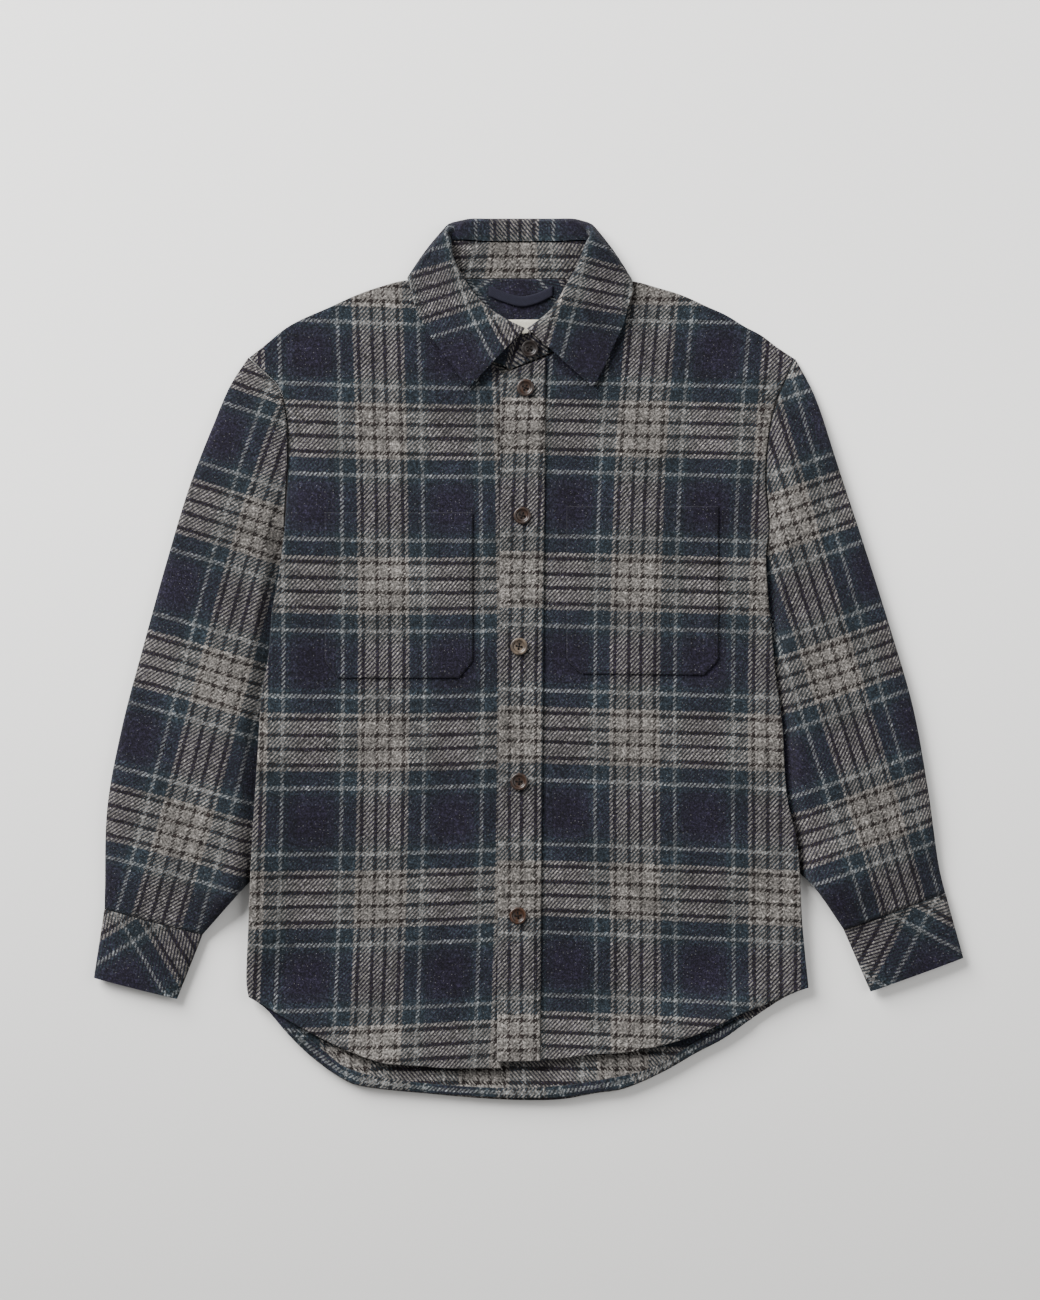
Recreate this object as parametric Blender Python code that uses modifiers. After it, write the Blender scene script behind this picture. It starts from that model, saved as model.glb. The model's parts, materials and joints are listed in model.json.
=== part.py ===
"""A heavy wool check shirt jacket, buttoned up and laid flat on its back, seen from above.

Metres, +Z up. +X is to the right of someone looking down at it and +Y is towards the collar.
The origin lies on the surface that carries the jacket, under the middle of its outline.

Every piece of cloth is a wall laid on the pieces under it: sleeves and cuffs first, then the back,
what is sewn inside it, the fronts, the pockets, the placket, the collar stand, the collar leaf and
the buttons. The tables hold plan points in millimetres.
"""

import math
from typing import NamedTuple

import bmesh
import bpy
import numpy as np
from mathutils import Matrix, Vector
from mathutils.bvhtree import BVHTree

NAME = "shacket"
MM = 0.001

# Wall thicknesses
CLOTH = 1.8 * MM
DOUBLED = 2.4 * MM
STAND = 2.0 * MM
FACING = 1.2 * MM
TAPE = 1.0 * MM

# Distances between pieces
SEAM = 0.4 * MM
AIR = 0.8 * MM
TUBE_AIR = 0.6 * MM
PLACKET_LAP = 4.5 * MM
FRONT_GAP = 0.8 * MM
NECK_CLEAR = 2.0 * MM

# How far the sleeves and cuffs stand up along their middles
SLEEVE_CROWN = 3.0 * MM
CUFF_CROWN = 1.5 * MM

# How a laid panel bends down from a step, as the curvature of its underside per metre
SAG = 3.0
EDGE_PRESS = 20 * MM
LAY_ROUNDS = 300
CONTACTS_PER_CELL = 3
RIDGE_STEP = 6 * MM
SMOOTH_ANGLE = math.radians(50)

# Grid cells along the seams and edges
ARMHOLE_CELLS = 10
SIDE_CELLS = 11
SHOULDER_CELLS = 5
NECKLINE_CELLS = 5
BACK_NECK_CELLS = 7
SLEEVE_CELLS = 13
CUFF_CELLS_ALONG = 3
CUFF_CELLS_AROUND = 5
FACING_CELLS = 22
LOOP_CELLS = 8
POCKET_CELLS = 6
PLACKET_CELLS_ALONG = 30
PLACKET_CELLS_ACROSS = 3
FOLD_STEPS = 3

# Seams and edges of the body, as x and y in millimetres
ARMHOLE_LEFT = [(-265, 285), (-250, 271), (-236, 256), (-229, 225), (-228, 190), (-231, 124),
                (-236, 82), (-243, 45)]
SIDE_LEFT = [(-243, 45), (-246, 5), (-253, -40), (-257, -97), (-262, -182), (-265, -249),
             (-267, -309), (-265, -321)]
ARMHOLE_RIGHT = [(252, 284), (243, 264), (233, 238), (227, 205), (225, 168), (228, 124),
                 (225, 94), (228, 45)]
SIDE_RIGHT = [(228, 45), (230, 30), (233, -6), (240, -61), (245, -133), (254, -173),
              (259, -251), (265, -312)]
SHOULDER_LEFT = [(-265, 285), (-251, 296), (-227, 315), (-186, 334), (-164, 344), (-141, 352),
                 (-117, 358), (-99, 357.5)]
SHOULDER_RIGHT = [(82, 357.5), (100, 357), (123, 351), (146, 344), (168, 334), (188, 325), (204, 315),
                  (221, 306), (234, 296), (252, 284)]
BACK_NECK = [(-99, 357.5), (-80, 359), (63, 359), (82, 357.5)]
BACK_HEM = [(-265, -321), (-249, -332), (-230, -354), (-209, -375), (-181, -396), (-165, -404),
            (-143, -408), (-103, -412), (-27, -418), (30, -418), (65, -412), (87, -409),
            (111, -400), (135, -388), (159, -374), (184, -361), (208, -344), (227, -331),
            (245, -320), (265, -312)]
FRONT_HEM_LEFT = [(-265, -321), (-249, -330), (-217, -349), (-192, -362), (-168, -373),
                  (-149, -380), (-134, -384), (-103, -386), (-80, -388), (-26, -388)]
FRONT_HEM_RIGHT = [(-25, -381), (12, -381), (64, -375), (87, -374), (123, -367), (148, -360),
                   (178, -348), (196, -339), (227, -327), (245, -319), (265, -312)]

# The strip that faces the back hem inside, as its lower and upper edges
FACING_LOWER = [(-222, -361), (-209, -374), (-181, -395), (-165, -403), (-143, -407), (-103, -411),
                (-27, -416), (30, -416), (65, -411), (87, -408), (111, -399), (135, -387),
                (159, -373), (184, -360), (208, -343)]
FACING_UPPER = [(-219, -353), (-205, -363), (-189, -376), (-176, -386), (-154, -394), (-103, -402),
                (-27, -407), (30, -405), (65, -400), (87, -396), (111, -390), (127, -383),
                (154, -366), (171, -356), (203, -340)]

# Sleeves: their heads, beside the armholes and then under the body, and their edges to the wrist
SLEEVE_HEAD_LEFT = [(-265.6, 285), (-250.6, 271), (-236.6, 256), (-229.6, 225), (-228.6, 190),
                    (-231.6, 126), (-229, 92), (-226, 50)]
SLEEVE_HEAD_RIGHT = [(252.6, 284), (243.6, 264), (233.6, 238), (227.6, 205), (225.6, 168),
                     (228.6, 124), (224.5, 90), (218, 50)]
SLEEVE_OUTER_LEFT = [(-266, 285), (-283, 258), (-299, 220), (-321, 163), (-344, 87), (-365, 11),
                     (-385, -65), (-399, -141), (-401.5, -217), (-402, -237.6)]
SLEEVE_INNER_LEFT = [(-226, 50), (-225, -2), (-225, -59), (-226, -116), (-236, -168),
                     (-253, -201), (-266, -214), (-309, -262.1)]
SLEEVE_OUTER_RIGHT = [(253, 284), (271, 249), (293, 182), (318, 106), (342, 30), (364, -46),
                      (378, -122), (389, -198), (395, -222.6)]
SLEEVE_INNER_RIGHT = [(218, 50), (219, -7), (218, -64), (220, -116), (231, -168), (246, -194),
                      (256, -203), (271, -218), (298.5, -257.1)]

# Cuffs hang from the sleeves' ends: their outer and inner corners at the wrist
CUFF_LEFT = [(-412, -303), (-333, -323)]
CUFF_RIGHT = [(412, -284), (324, -316)]

# The placket's edges, the pockets' corners and the buttons, from the collar down
PLACKET_LEFT = [(-26.5, 269), (-30, -382)]
PLACKET_RIGHT = [(16.5, 285), (11, -381)]
UNDER_PLACKET = (0, 280)
POCKET_LEFT = [(-193, 138), (-53, 138), (-53, -3), (-66, -19), (-181, -19), (-193, -3)]
POCKET_RIGHT = [(36, 144), (180, 144), (180, -2), (166, -16), (50, -15), (36, -2)]
BUTTONS = [(1, 293), (-3, 256), (-6, 135), (-9, 11), (-9, -117), (-10, -244)]

BUTTON_RADIUS = 8.2 * MM
BUTTON_HEIGHT = 2.8 * MM
BUTTON_STEPS = 18
BUTTON_AIR = 0.3 * MM
# Shares of a button's radius and height, from the middle of its face round to its underside
BUTTON_PROFILE = [(0, 0.62), (0.62, 0.62), (0.76, 1), (0.92, 1), (1, 0.7), (0.86, 0.12), (0.6, 0),
                  (0, 0)]
HOLE_RADIUS = 0.9 * MM
HOLE_SPREAD = 1.5 * MM
HOLE_SIDES = 6
HOLE_POST = 4 * BUTTON_HEIGHT

# The hanger loop and the blank label sewn inside the back of the neck
LOOP_TOP = [(-38, 353), (-23, 347), (-7, 343), (8, 346), (23, 353)]
LOOP_WIDTH = 10 * MM
LABEL_CORNERS = [(-27, 321), (23, 321), (-27, 301), (23, 301)]


class Station(NamedTuple):
    """One cut across the collar, in millimetres: the leaf runs from the top of the stand over the
    roll to its outer edge, and the stand runs from its top down to the neck seam."""

    roll: tuple
    edge: tuple
    seam: tuple
    rise: float
    edge_z: float
    top_z: float
    seam_z: float


# From the front edge of each leaf to the side of the neck, where the collar folds to the back
COLLAR_LEFT = [
    Station((-4, 311), (-57, 256), (-17, 274), 6, 6.6, 7.8, 6.4),
    Station((-24, 321), (-70, 273), (-38, 284), 7, 6.4, 7.8, 5.0),
    Station((-44, 335), (-83, 291), (-58, 299), 9, 6.4, 7.6, 4.0),
    Station((-61, 357), (-95, 308), (-76, 319), 12, 6.6, 7.8, 4.6),
    Station((-72, 379), (-106, 329), (-89, 338), 16, 7.6, 8.0, 5.8),
    Station((-74, 395), (-111, 347), (-94, 351), 20, 8.8, 8.0, 6.2),
]
FOLD_LEFT = Station((-74, 407), (-112, 362.5), (-97, 360.5), 22, 9.0, 8.0, 6.4)
COLLAR_BACK = [
    Station((-62, 417), (-98, 357), (-82, 360.5), 22, 1.2, 5.2, 3.6),
    Station((-37, 417.5), (-58, 352), (-47, 360.5), 22, 1.2, 5.2, 3.6),
    Station((-8, 417.5), (-8, 350), (-8, 360.5), 22, 1.2, 5.2, 3.6),
    Station((22, 417.5), (42, 352), (31, 360.5), 22, 1.2, 5.2, 3.6),
    Station((46, 417), (82, 357), (65, 360.5), 22, 1.2, 5.2, 3.6),
]
FOLD_RIGHT = Station((55, 407), (95, 361.5), (80, 360.5), 22, 9.0, 8.0, 6.4)
COLLAR_RIGHT = [
    Station((56, 392), (98, 346), (76, 351), 20, 8.8, 8.0, 6.2),
    Station((47, 371), (93, 329), (71, 338), 16, 7.6, 8.0, 5.8),
    Station((38, 355), (89, 314), (58, 319), 12, 6.6, 7.8, 4.6),
    Station((25, 333), (80, 295), (41, 299), 9, 6.4, 7.0, 4.0),
    Station((13, 321), (71, 275), (21, 290), 5, 6.4, 5.4, 3.5),
    Station((-1, 311), (61, 257), (0, 284), 3, 6.6, 4.6, 3.4),
]
# The stand's left end laps over its right end at the centre front
LAP_OVER = Station((14, 312), (14, 256), (19, 289), 6, 6.6, 7.6, 6.4)
LAP_UNDER = Station((-18, 308), (-18, 256), (-20, 282), 3, 6.6, 4.6, 3.4)
ROLL_FRONT_Z = 12.0
BACK_FALL_Z = 1.2
BACK_TOP_Z = 5.2
BACK_SEAM_Z = 3.6
ROLL_RADIUS = 2.0
ROLL_STEPS = 4
FALL_CELLS = 5
FALL_CURVE = 1.6
STAND_CELLS = 3
HIDDEN_CELLS = 3
LEAF_CLEAR = 1.4 * MM


class Pile:
    """The pieces laid so far, which carry the next one."""

    def __init__(self):
        self.trees = []
        self.ridges = []

    def add_object(self, piece):
        depsgraph = bpy.context.evaluated_depsgraph_get()
        mesh = piece.evaluated_get(depsgraph).to_mesh()
        mesh.calc_loop_triangles()
        self.add_faces([v.co.copy() for v in mesh.vertices],
                       [tuple(t.vertices) for t in mesh.loop_triangles])
        piece.evaluated_get(depsgraph).to_mesh_clear()

    def add_faces(self, corners, faces):
        self.trees.append(BVHTree.FromPolygons(corners, faces))
        edges = {tuple(sorted((face[k - 1], face[k]))) for face in faces for k in range(len(face))}
        for a, b in sorted(edges):
            start, end = corners[a], corners[b]
            pieces = max(1, math.ceil((end - start).length / RIDGE_STEP))
            self.ridges += [start.lerp(end, k / pieces) for k in range(pieces + 1)]

    def height(self, x, y):
        """The height of the uppermost piece under a plan point, or 0 on the bare surface."""
        best = 0.0
        for tree in self.trees:
            hit = tree.ray_cast(Vector((x, y, 1.0)), Vector((0, 0, -1)))
            if hit[0] is not None:
                best = max(best, hit[0].z)
        return best


def grid_faces(rows, columns):
    """The quads of a grid of points whose rows run up and whose columns run to the right."""
    faces = []
    for row in range(rows - 1):
        for column in range(columns - 1):
            corner = row * columns + column
            faces.append((corner, corner + 1, corner + columns + 1, corner + columns))
    return faces


def evenly(points, cells):
    """Points at equal steps along a smooth line through a table's points, in metres."""
    knots = np.array(points, float) * MM
    if len(knots) > 2:
        padded = np.vstack([2 * knots[0] - knots[1], knots, 2 * knots[-1] - knots[-2]])
        pieces = [smooth_piece(padded[i:i + 4]) for i in range(len(knots) - 1)]
        knots = np.vstack(pieces + [knots[-1:]])
    along = np.concatenate([[0], np.cumsum(np.linalg.norm(np.diff(knots, axis=0), axis=1))])
    steps = np.linspace(0, along[-1], cells + 1)
    return np.stack([np.interp(steps, along, knots[:, k]) for k in range(2)], axis=1)


def smooth_piece(four, steps=12):
    """A centripetal Catmull-Rom arc from the second to the third of four points."""
    knot = [0.0]
    for start, end in zip(four[:-1], four[1:]):
        knot.append(knot[-1] + math.sqrt(max(np.linalg.norm(end - start), 1e-9)))
    t = np.linspace(knot[1], knot[2], steps, endpoint=False)[:, None]
    first = [((knot[i + 1] - t) * four[i] + (t - knot[i]) * four[i + 1]) / (knot[i + 1] - knot[i])
             for i in range(3)]
    second = [((knot[i + 2] - t) * first[i] + (t - knot[i]) * first[i + 1])
              / (knot[i + 2] - knot[i]) for i in range(2)]
    return ((knot[2] - t) * second[0] + (t - knot[1]) * second[1]) / (knot[2] - knot[1])


def join(*lines):
    """One line from several that meet end to end."""
    return np.vstack([line if i == 0 else line[1:] for i, line in enumerate(lines)])


def patch(left, right, lower, upper):
    """A plan grid inside four edges: left and right run up, lower and upper run to the right."""
    rows, columns = len(left), len(lower)
    v = np.linspace(0, 1, rows)[:, None, None]
    u = np.linspace(0, 1, columns)[None, :, None]
    across = (1 - u) * left[:, None] + u * right[:, None]
    along = (1 - v) * lower[None] + v * upper[None]
    corners = ((1 - u) * (1 - v) * lower[0] + u * (1 - v) * lower[-1]
               + (1 - u) * v * upper[0] + u * v * upper[-1])
    return across + along - corners


class Contacts:
    """Where a grid may not go lower: each contact is a mix of grid points and a least height."""

    def __init__(self, plan, pile, gap):
        self.corners, self.weights, self.least = [], [], []
        rows, columns = plan.shape[:2]
        self.index = np.arange(rows * columns).reshape(rows, columns)
        self.points = plan.reshape(-1, 2)
        self.gap = np.broadcast_to(gap, (rows, columns)).reshape(-1)
        self.add_cells(pile)
        self.add_ridges(pile)
        self.corners = np.array(self.corners)
        self.weights = np.array(self.weights)
        self.least = np.array(self.least)
        self.share = self.weights / (self.weights ** 2).sum(1, keepdims=True)

    def add(self, corners, weights, under):
        gap = sum(weight * self.gap[k] for k, weight in zip(corners, weights))
        self.corners.append(corners)
        self.weights.append(weights)
        self.least.append(under + gap if under > 0 else 0.0)

    def add_cells(self, pile):
        """Contacts spread evenly over every cell."""
        steps = np.linspace(0, 1, CONTACTS_PER_CELL + 1)
        for row, column in np.ndindex(self.index.shape[0] - 1, self.index.shape[1] - 1):
            corners = self.index[row:row + 2, column:column + 2].reshape(-1)
            for v in steps:
                for u in steps:
                    weights = ((1 - v) * (1 - u), (1 - v) * u, v * (1 - u), v * u)
                    x, y = np.dot(weights, self.points[corners])
                    self.add(corners, weights, pile.height(x, y))

    def add_ridges(self, pile):
        """Contacts over the edges of the pieces below, which may stand up between the others."""
        flat = [Vector((x, y, 0)) for x, y in self.points]
        faces = []
        for a, b, c, d in grid_faces(*self.index.shape):
            faces += [(a, b, c), (a, c, d)]
        tree = BVHTree.FromPolygons(flat, faces)
        for point in pile.ridges:
            place, _, face, _ = tree.ray_cast(Vector((point.x, point.y, 1)), Vector((0, 0, -1)))
            if place is None:
                continue
            a, b, c = faces[face]
            weights = barycentric(place, flat[a], flat[b], flat[c])
            self.add((a, b, c, a), (*weights, 0.0), point.z)

    def push(self, height):
        """Raise heights, a flat array, a step towards meeting every contact."""
        missing = np.maximum(self.least - (self.weights * height[self.corners]).sum(1), 0)
        raised = np.zeros_like(height)
        np.maximum.at(raised, self.corners, self.share * missing[:, None])
        return height + raised


def barycentric(point, a, b, c):
    area = (b - a).cross(c - a).z
    first = (b - point).cross(c - point).z / area
    second = (c - point).cross(a - point).z / area
    return first, second, 1 - first - second


def lay(plan, pile, gap):
    """The grid of a panel's underside: it rests on the pile, gap clear of it, and sags between."""
    contacts = Contacts(plan, pile, gap)
    spacing = np.linalg.norm(np.diff(plan, axis=1), axis=2).mean()
    drop = SAG * spacing ** 2 / 4
    height = np.zeros(plan.shape[:2])
    for _ in range(LAY_ROUNDS):
        padded = np.pad(height, 1, mode="edge")
        around = (padded[:-2, 1:-1] + padded[2:, 1:-1] + padded[1:-1, :-2] + padded[1:-1, 2:]) / 4
        loose = np.maximum(around - drop, 0).reshape(-1)
        height = contacts.push(contacts.push(loose)).reshape(height.shape)
    return np.dstack([plan, settle(height, contacts)])


def settle(height, contacts):
    """Raise a grid's heights until it meets all its contacts."""
    flat = height.reshape(-1)
    for _ in range(LAY_ROUNDS):
        flat = contacts.push(flat)
    return flat.reshape(height.shape)


def pressed(plan, seam_column):
    """The gap under a front: a seam's gap at its side seam and a little air further in."""
    away = np.linalg.norm(plan - plan[:, [seam_column]], axis=2)
    return SEAM + (AIR - SEAM) * np.minimum(away / EDGE_PRESS, 1)


def add_mesh(name, points, faces, material, collection):
    mesh = bpy.data.meshes.new(name)
    mesh.from_pydata([tuple(p) for p in points], [], faces)
    mesh.materials.append(material)
    piece = bpy.data.objects.new(name, mesh)
    collection.objects.link(piece)
    mesh.shade_smooth()
    mesh.set_sharp_from_angle(angle=SMOOTH_ANGLE)
    return piece


def thicken(piece, thickness, offset):
    wall = piece.modifiers.new("wall", "SOLIDIFY")
    wall.thickness = thickness
    wall.offset = offset
    bpy.context.view_layer.update()


def add_panel(name, under, thickness, material, collection):
    """A wall of cloth standing on the grid of its underside."""
    rows, columns = under.shape[:2]
    piece = add_mesh(name, under.reshape(-1, 3), grid_faces(rows, columns), material, collection)
    thicken(piece, thickness, 1)
    return piece


def add_tube(name, plan, wall, crown, material, collection):
    """A flattened tube on the surface: a crowned upper wall and a flat lower one that join round at
    both sides."""
    radius = wall + TUBE_AIR / 2
    outer = [tube_ring(row, radius, 0, crown) for row in plan]
    inner = [tube_ring(row, radius, wall, crown) for row in plan]
    rings, count = len(outer), len(outer[0])
    lining = rings * count
    faces = []
    for k in range(count):
        after = (k + 1) % count
        for row in range(rings - 1):
            low, high = row * count, (row + 1) * count
            faces.append((low + k, low + after, high + after, high + k))
            faces.append((lining + low + after, lining + low + k, lining + high + k,
                          lining + high + after))
        last = (rings - 1) * count
        faces.append((lining + k, lining + after, after, k))
        faces.append((last + k, last + after, lining + last + after, lining + last + k))
    return add_mesh(name, np.vstack(outer + inner), faces, material, collection)


def tube_ring(row, radius, inset, crown):
    """The ring over one row of a tube's plan, inset inward from its outside: along the top, and
    back underneath."""
    left = (row[0] - row[1]) / np.linalg.norm(row[0] - row[1])
    right = (row[-1] - row[-2]) / np.linalg.norm(row[-1] - row[-2])
    centres = row.copy()
    centres[0] = row[0] - left * radius
    centres[-1] = row[-1] - right * radius
    bend = radius - inset
    rise = crown * np.sin(np.linspace(0, math.pi, len(centres)))
    ring = [(*point, radius + bend + lift) for point, lift in zip(centres, rise)]
    angles = [math.pi * (k + 1) / (FOLD_STEPS + 1) for k in range(FOLD_STEPS)]
    ring += [(*(centres[-1] + right * bend * math.sin(a)), radius + bend * math.cos(a))
             for a in angles]
    ring += [(*point, radius - bend) for point in centres[::-1]]
    ring += [(*(centres[0] + left * bend * math.sin(a)), radius - bend * math.cos(a))
             for a in angles]
    return np.array(ring)


def sleeve_plan(left, right, top):
    """A sleeve from its wrist up to the armhole; left and right run up."""
    wrist = [left[0], right[0]]
    return patch(evenly(left, SLEEVE_CELLS), evenly(right, SLEEVE_CELLS),
                 evenly(wrist, ARMHOLE_CELLS), top)


def add_sleeves(pile, material, collection):
    left = sleeve_plan(SLEEVE_OUTER_LEFT[::-1], SLEEVE_INNER_LEFT[::-1],
                       evenly(SLEEVE_HEAD_LEFT, ARMHOLE_CELLS))
    right = sleeve_plan(SLEEVE_INNER_RIGHT[::-1], SLEEVE_OUTER_RIGHT[::-1],
                        evenly(SLEEVE_HEAD_RIGHT[::-1], ARMHOLE_CELLS))
    for name, plan in (("sleeve_left", left), ("sleeve_right", right)):
        pile.add_object(add_tube(name, plan, CLOTH, SLEEVE_CROWN, material, collection))


def cuff_plan(top_left, top_right, low_left, low_right):
    """A cuff's four corners, the upper two a seam's gap below the sleeve's end."""
    top_left, top_right, low_left, low_right = (np.array(p, float) * MM for p in (
        top_left, top_right, low_left, low_right))
    run = (top_right - top_left) / np.linalg.norm(top_right - top_left)
    down = np.array([run[1], -run[0]]) * SEAM
    left = np.linspace(low_left, top_left + down, CUFF_CELLS_ALONG + 1)
    right = np.linspace(low_right, top_right + down, CUFF_CELLS_ALONG + 1)
    return patch(left, right, np.linspace(left[0], right[0], CUFF_CELLS_AROUND + 1),
                 np.linspace(left[-1], right[-1], CUFF_CELLS_AROUND + 1))


def add_cuffs(pile, material, collection):
    left = cuff_plan(SLEEVE_OUTER_LEFT[-1], SLEEVE_INNER_LEFT[-1], *CUFF_LEFT)
    right = cuff_plan(SLEEVE_INNER_RIGHT[-1], SLEEVE_OUTER_RIGHT[-1], *CUFF_RIGHT[::-1])
    for name, plan in (("cuff_left", left), ("cuff_right", right)):
        pile.add_object(add_tube(name, plan, DOUBLED, CUFF_CROWN, material, collection))


def back_plan():
    left = join(evenly(SIDE_LEFT[::-1], SIDE_CELLS), evenly(ARMHOLE_LEFT[::-1], ARMHOLE_CELLS))
    right = join(evenly(SIDE_RIGHT[::-1], SIDE_CELLS), evenly(ARMHOLE_RIGHT[::-1], ARMHOLE_CELLS))
    top = join(evenly(SHOULDER_LEFT, SHOULDER_CELLS), evenly(BACK_NECK, BACK_NECK_CELLS),
               evenly(SHOULDER_RIGHT, SHOULDER_CELLS))
    return patch(left, right, evenly(BACK_HEM, len(top) - 1), top)


def neckline(stations):
    """A front's neck edge, just outside the stand's seam, in millimetres."""
    points = []
    for station in stations:
        away = np.subtract(station.seam, station.roll)
        points.append(tuple(station.seam + away / np.linalg.norm(away) * NECK_CLEAR / MM))
    return points


def front_plans():
    """The plans of both fronts, which meet under the placket."""
    x, y = PLACKET_LEFT[0]
    join_x = x + PLACKET_LAP / MM
    neck_left = [SHOULDER_LEFT[-1]] + neckline(COLLAR_LEFT[:0:-1]) + [(join_x, y)]
    neck_right = ([(join_x + FRONT_GAP / MM, y), UNDER_PLACKET] + neckline(COLLAR_RIGHT[-2::-1])
                  + [SHOULDER_RIGHT[0]])
    top_left = join(evenly(SHOULDER_LEFT, SHOULDER_CELLS), evenly(neck_left, NECKLINE_CELLS))
    top_right = join(evenly(neck_right, NECKLINE_CELLS), evenly(SHOULDER_RIGHT, SHOULDER_CELLS))
    rows, cells = SIDE_CELLS + ARMHOLE_CELLS, SHOULDER_CELLS + NECKLINE_CELLS
    hem_left, hem_right = evenly(FRONT_HEM_LEFT, cells), evenly(FRONT_HEM_RIGHT, cells)
    side_left = join(evenly(SIDE_LEFT[::-1], SIDE_CELLS),
                     evenly(ARMHOLE_LEFT[::-1], ARMHOLE_CELLS))
    side_right = join(evenly(SIDE_RIGHT[::-1], SIDE_CELLS),
                      evenly(ARMHOLE_RIGHT[::-1], ARMHOLE_CELLS))
    left = patch(side_left, np.linspace(hem_left[-1], top_left[-1], rows + 1), hem_left, top_left)
    right = patch(np.linspace(hem_right[0], top_right[0], rows + 1), side_right, hem_right,
                  top_right)
    return left, right


def add_inside_of_back(pile, materials, collection):
    """The hem's facing strip, the hanger loop and the blank label, which show inside the back."""
    lower, upper = evenly(FACING_LOWER, FACING_CELLS), evenly(FACING_UPPER, FACING_CELLS)
    strip = patch(np.linspace(lower[0], upper[0], 2), np.linspace(lower[-1], upper[-1], 2),
                  lower, upper)
    facing = add_panel("hem_facing", lay(strip, pile, SEAM), FACING, materials["facing"],
                       collection)
    top = evenly(LOOP_TOP, LOOP_CELLS)
    bottom = top - np.array([0, LOOP_WIDTH])
    tape = patch(np.linspace(bottom[0], top[0], 2), np.linspace(bottom[-1], top[-1], 2),
                 bottom, top)
    loop = add_panel("hanger_loop", lay(tape, pile, SEAM), CLOTH, materials["loop"], collection)
    top_left, top_right, low_left, low_right = LABEL_CORNERS
    face = patch(evenly([low_left, top_left], 2), evenly([low_right, top_right], 2),
                 evenly([low_left, low_right], 4), evenly([top_left, top_right], 4))
    label = add_panel("neck_label", lay(face, pile, SEAM), TAPE, materials["label"], collection)
    for piece in (facing, loop, label):
        pile.add_object(piece)


def pocket_plan(corners):
    """A pocket with a straight mouth and its two lower corners cut off."""
    mouth_left, mouth_right, side_right, cut_right, cut_left, side_left = corners
    lower = np.linspace(cut_left, cut_right, POCKET_CELLS + 1) * MM
    middle = np.linspace(side_left, side_right, POCKET_CELLS + 1) * MM
    upper = np.linspace(mouth_left, mouth_right, POCKET_CELLS + 1) * MM
    tall = np.linspace(0, 1, POCKET_CELLS + 1)[:, None, None]
    return np.concatenate([lower[None], (1 - tall) * middle + tall * upper])


def add_pockets(pile, material, collection):
    for name, corners in (("pocket_left", POCKET_LEFT), ("pocket_right", POCKET_RIGHT)):
        pocket = add_panel(name, lay(pocket_plan(corners), pile, SEAM), CLOTH, material,
                           collection)
        pile.add_object(pocket)


def add_placket(pile, material, collection):
    left = evenly(PLACKET_LEFT[::-1], PLACKET_CELLS_ALONG)
    right = evenly(PLACKET_RIGHT[::-1], PLACKET_CELLS_ALONG)
    plan = patch(left, right, np.linspace(left[0], right[0], PLACKET_CELLS_ACROSS + 1),
                 np.linspace(left[-1], right[-1], PLACKET_CELLS_ACROSS + 1))
    placket = add_panel("placket", lay(plan, pile, SEAM), DOUBLED, material, collection)
    pile.add_object(placket)


class Section(NamedTuple):
    """A station of the collar as points in metres, with the fold's turn already in them."""

    roll: np.ndarray
    edge: np.ndarray
    top: np.ndarray
    seam: np.ndarray
    normal: np.ndarray


def make_section(station, turn):
    """Place a station. turn runs from 0, where the leaf lies on the fronts, to half a turn, where
    it lies under the back; between them each point swings round the fold."""
    roll, edge, seam = (np.array(p, float) * MM for p in (station.roll, station.edge, station.seam))
    outward = (edge - roll) / np.linalg.norm(edge - roll)
    top = roll + (seam - roll) / np.linalg.norm(seam - roll) * station.rise * MM
    side = np.array([outward[1], -outward[0]])
    side *= math.copysign(math.sin(turn), side[1])
    normal = np.array([*side, math.cos(turn)])
    on_front = (ROLL_FRONT_Z, station.edge_z, station.top_z, station.seam_z)
    under_back = (BACK_FALL_Z, BACK_FALL_Z, BACK_TOP_Z, BACK_SEAM_Z)
    placed = []
    for point, upper, under in zip((roll, edge, top, seam), on_front, under_back):
        middle = np.array([*point, (upper + under) / 2 * MM])
        placed.append(middle + normal * (upper - under) / 2 * MM)
    return Section(*placed, normal)


def collar_sections():
    """All sections, from the left leaf's front edge round the back to the right leaf's."""
    turns = [math.pi * k / (FOLD_STEPS + 1) for k in range(FOLD_STEPS + 2)]
    left = [make_section(s, 0) for s in COLLAR_LEFT]
    left += [make_section(FOLD_LEFT, turn) for turn in turns]
    back = [make_section(s, math.pi) for s in COLLAR_BACK]
    right = [make_section(FOLD_RIGHT, turn) for turn in turns[::-1]]
    right += [make_section(s, 0) for s in COLLAR_RIGHT]
    return left + back + right


def leaf_profile(section, top):
    """The leaf's middle surface across one section: from the stand's top, over the roll, down
    the fall to the outer edge."""
    outward = section.edge - section.roll
    outward[2] = 0
    outward /= np.linalg.norm(outward)
    radius = ROLL_RADIUS * MM
    crown = section.roll + outward * radius
    centre = crown - section.normal * radius
    inner_end = centre - section.normal * radius
    start = top + (inner_end - top) / np.linalg.norm(inner_end - top) * LEAF_CLEAR
    points = [start, (start + inner_end) / 2, inner_end]
    for k in range(1, ROLL_STEPS):
        angle = math.pi * k / ROLL_STEPS
        points.append(centre - outward * radius * math.sin(angle)
                      - section.normal * radius * math.cos(angle))
    for k in range(FALL_CELLS + 1):
        t = k / FALL_CELLS
        point = crown + (section.edge - crown) * t
        point[2] = section.edge[2] + (crown[2] - section.edge[2]) * (1 - t ** FALL_CURVE)
        points.append(point)
    return np.array(points)


def clear_pile(grid, thickness, pile):
    """Raise the middle surface of a wall, in place, to lie clear of the pile."""
    contacts = Contacts(grid[:, :, :2], pile, SEAM)
    grid[:, :, 2] = settle(grid[:, :, 2] - thickness / 2, contacts) + thickness / 2


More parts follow.
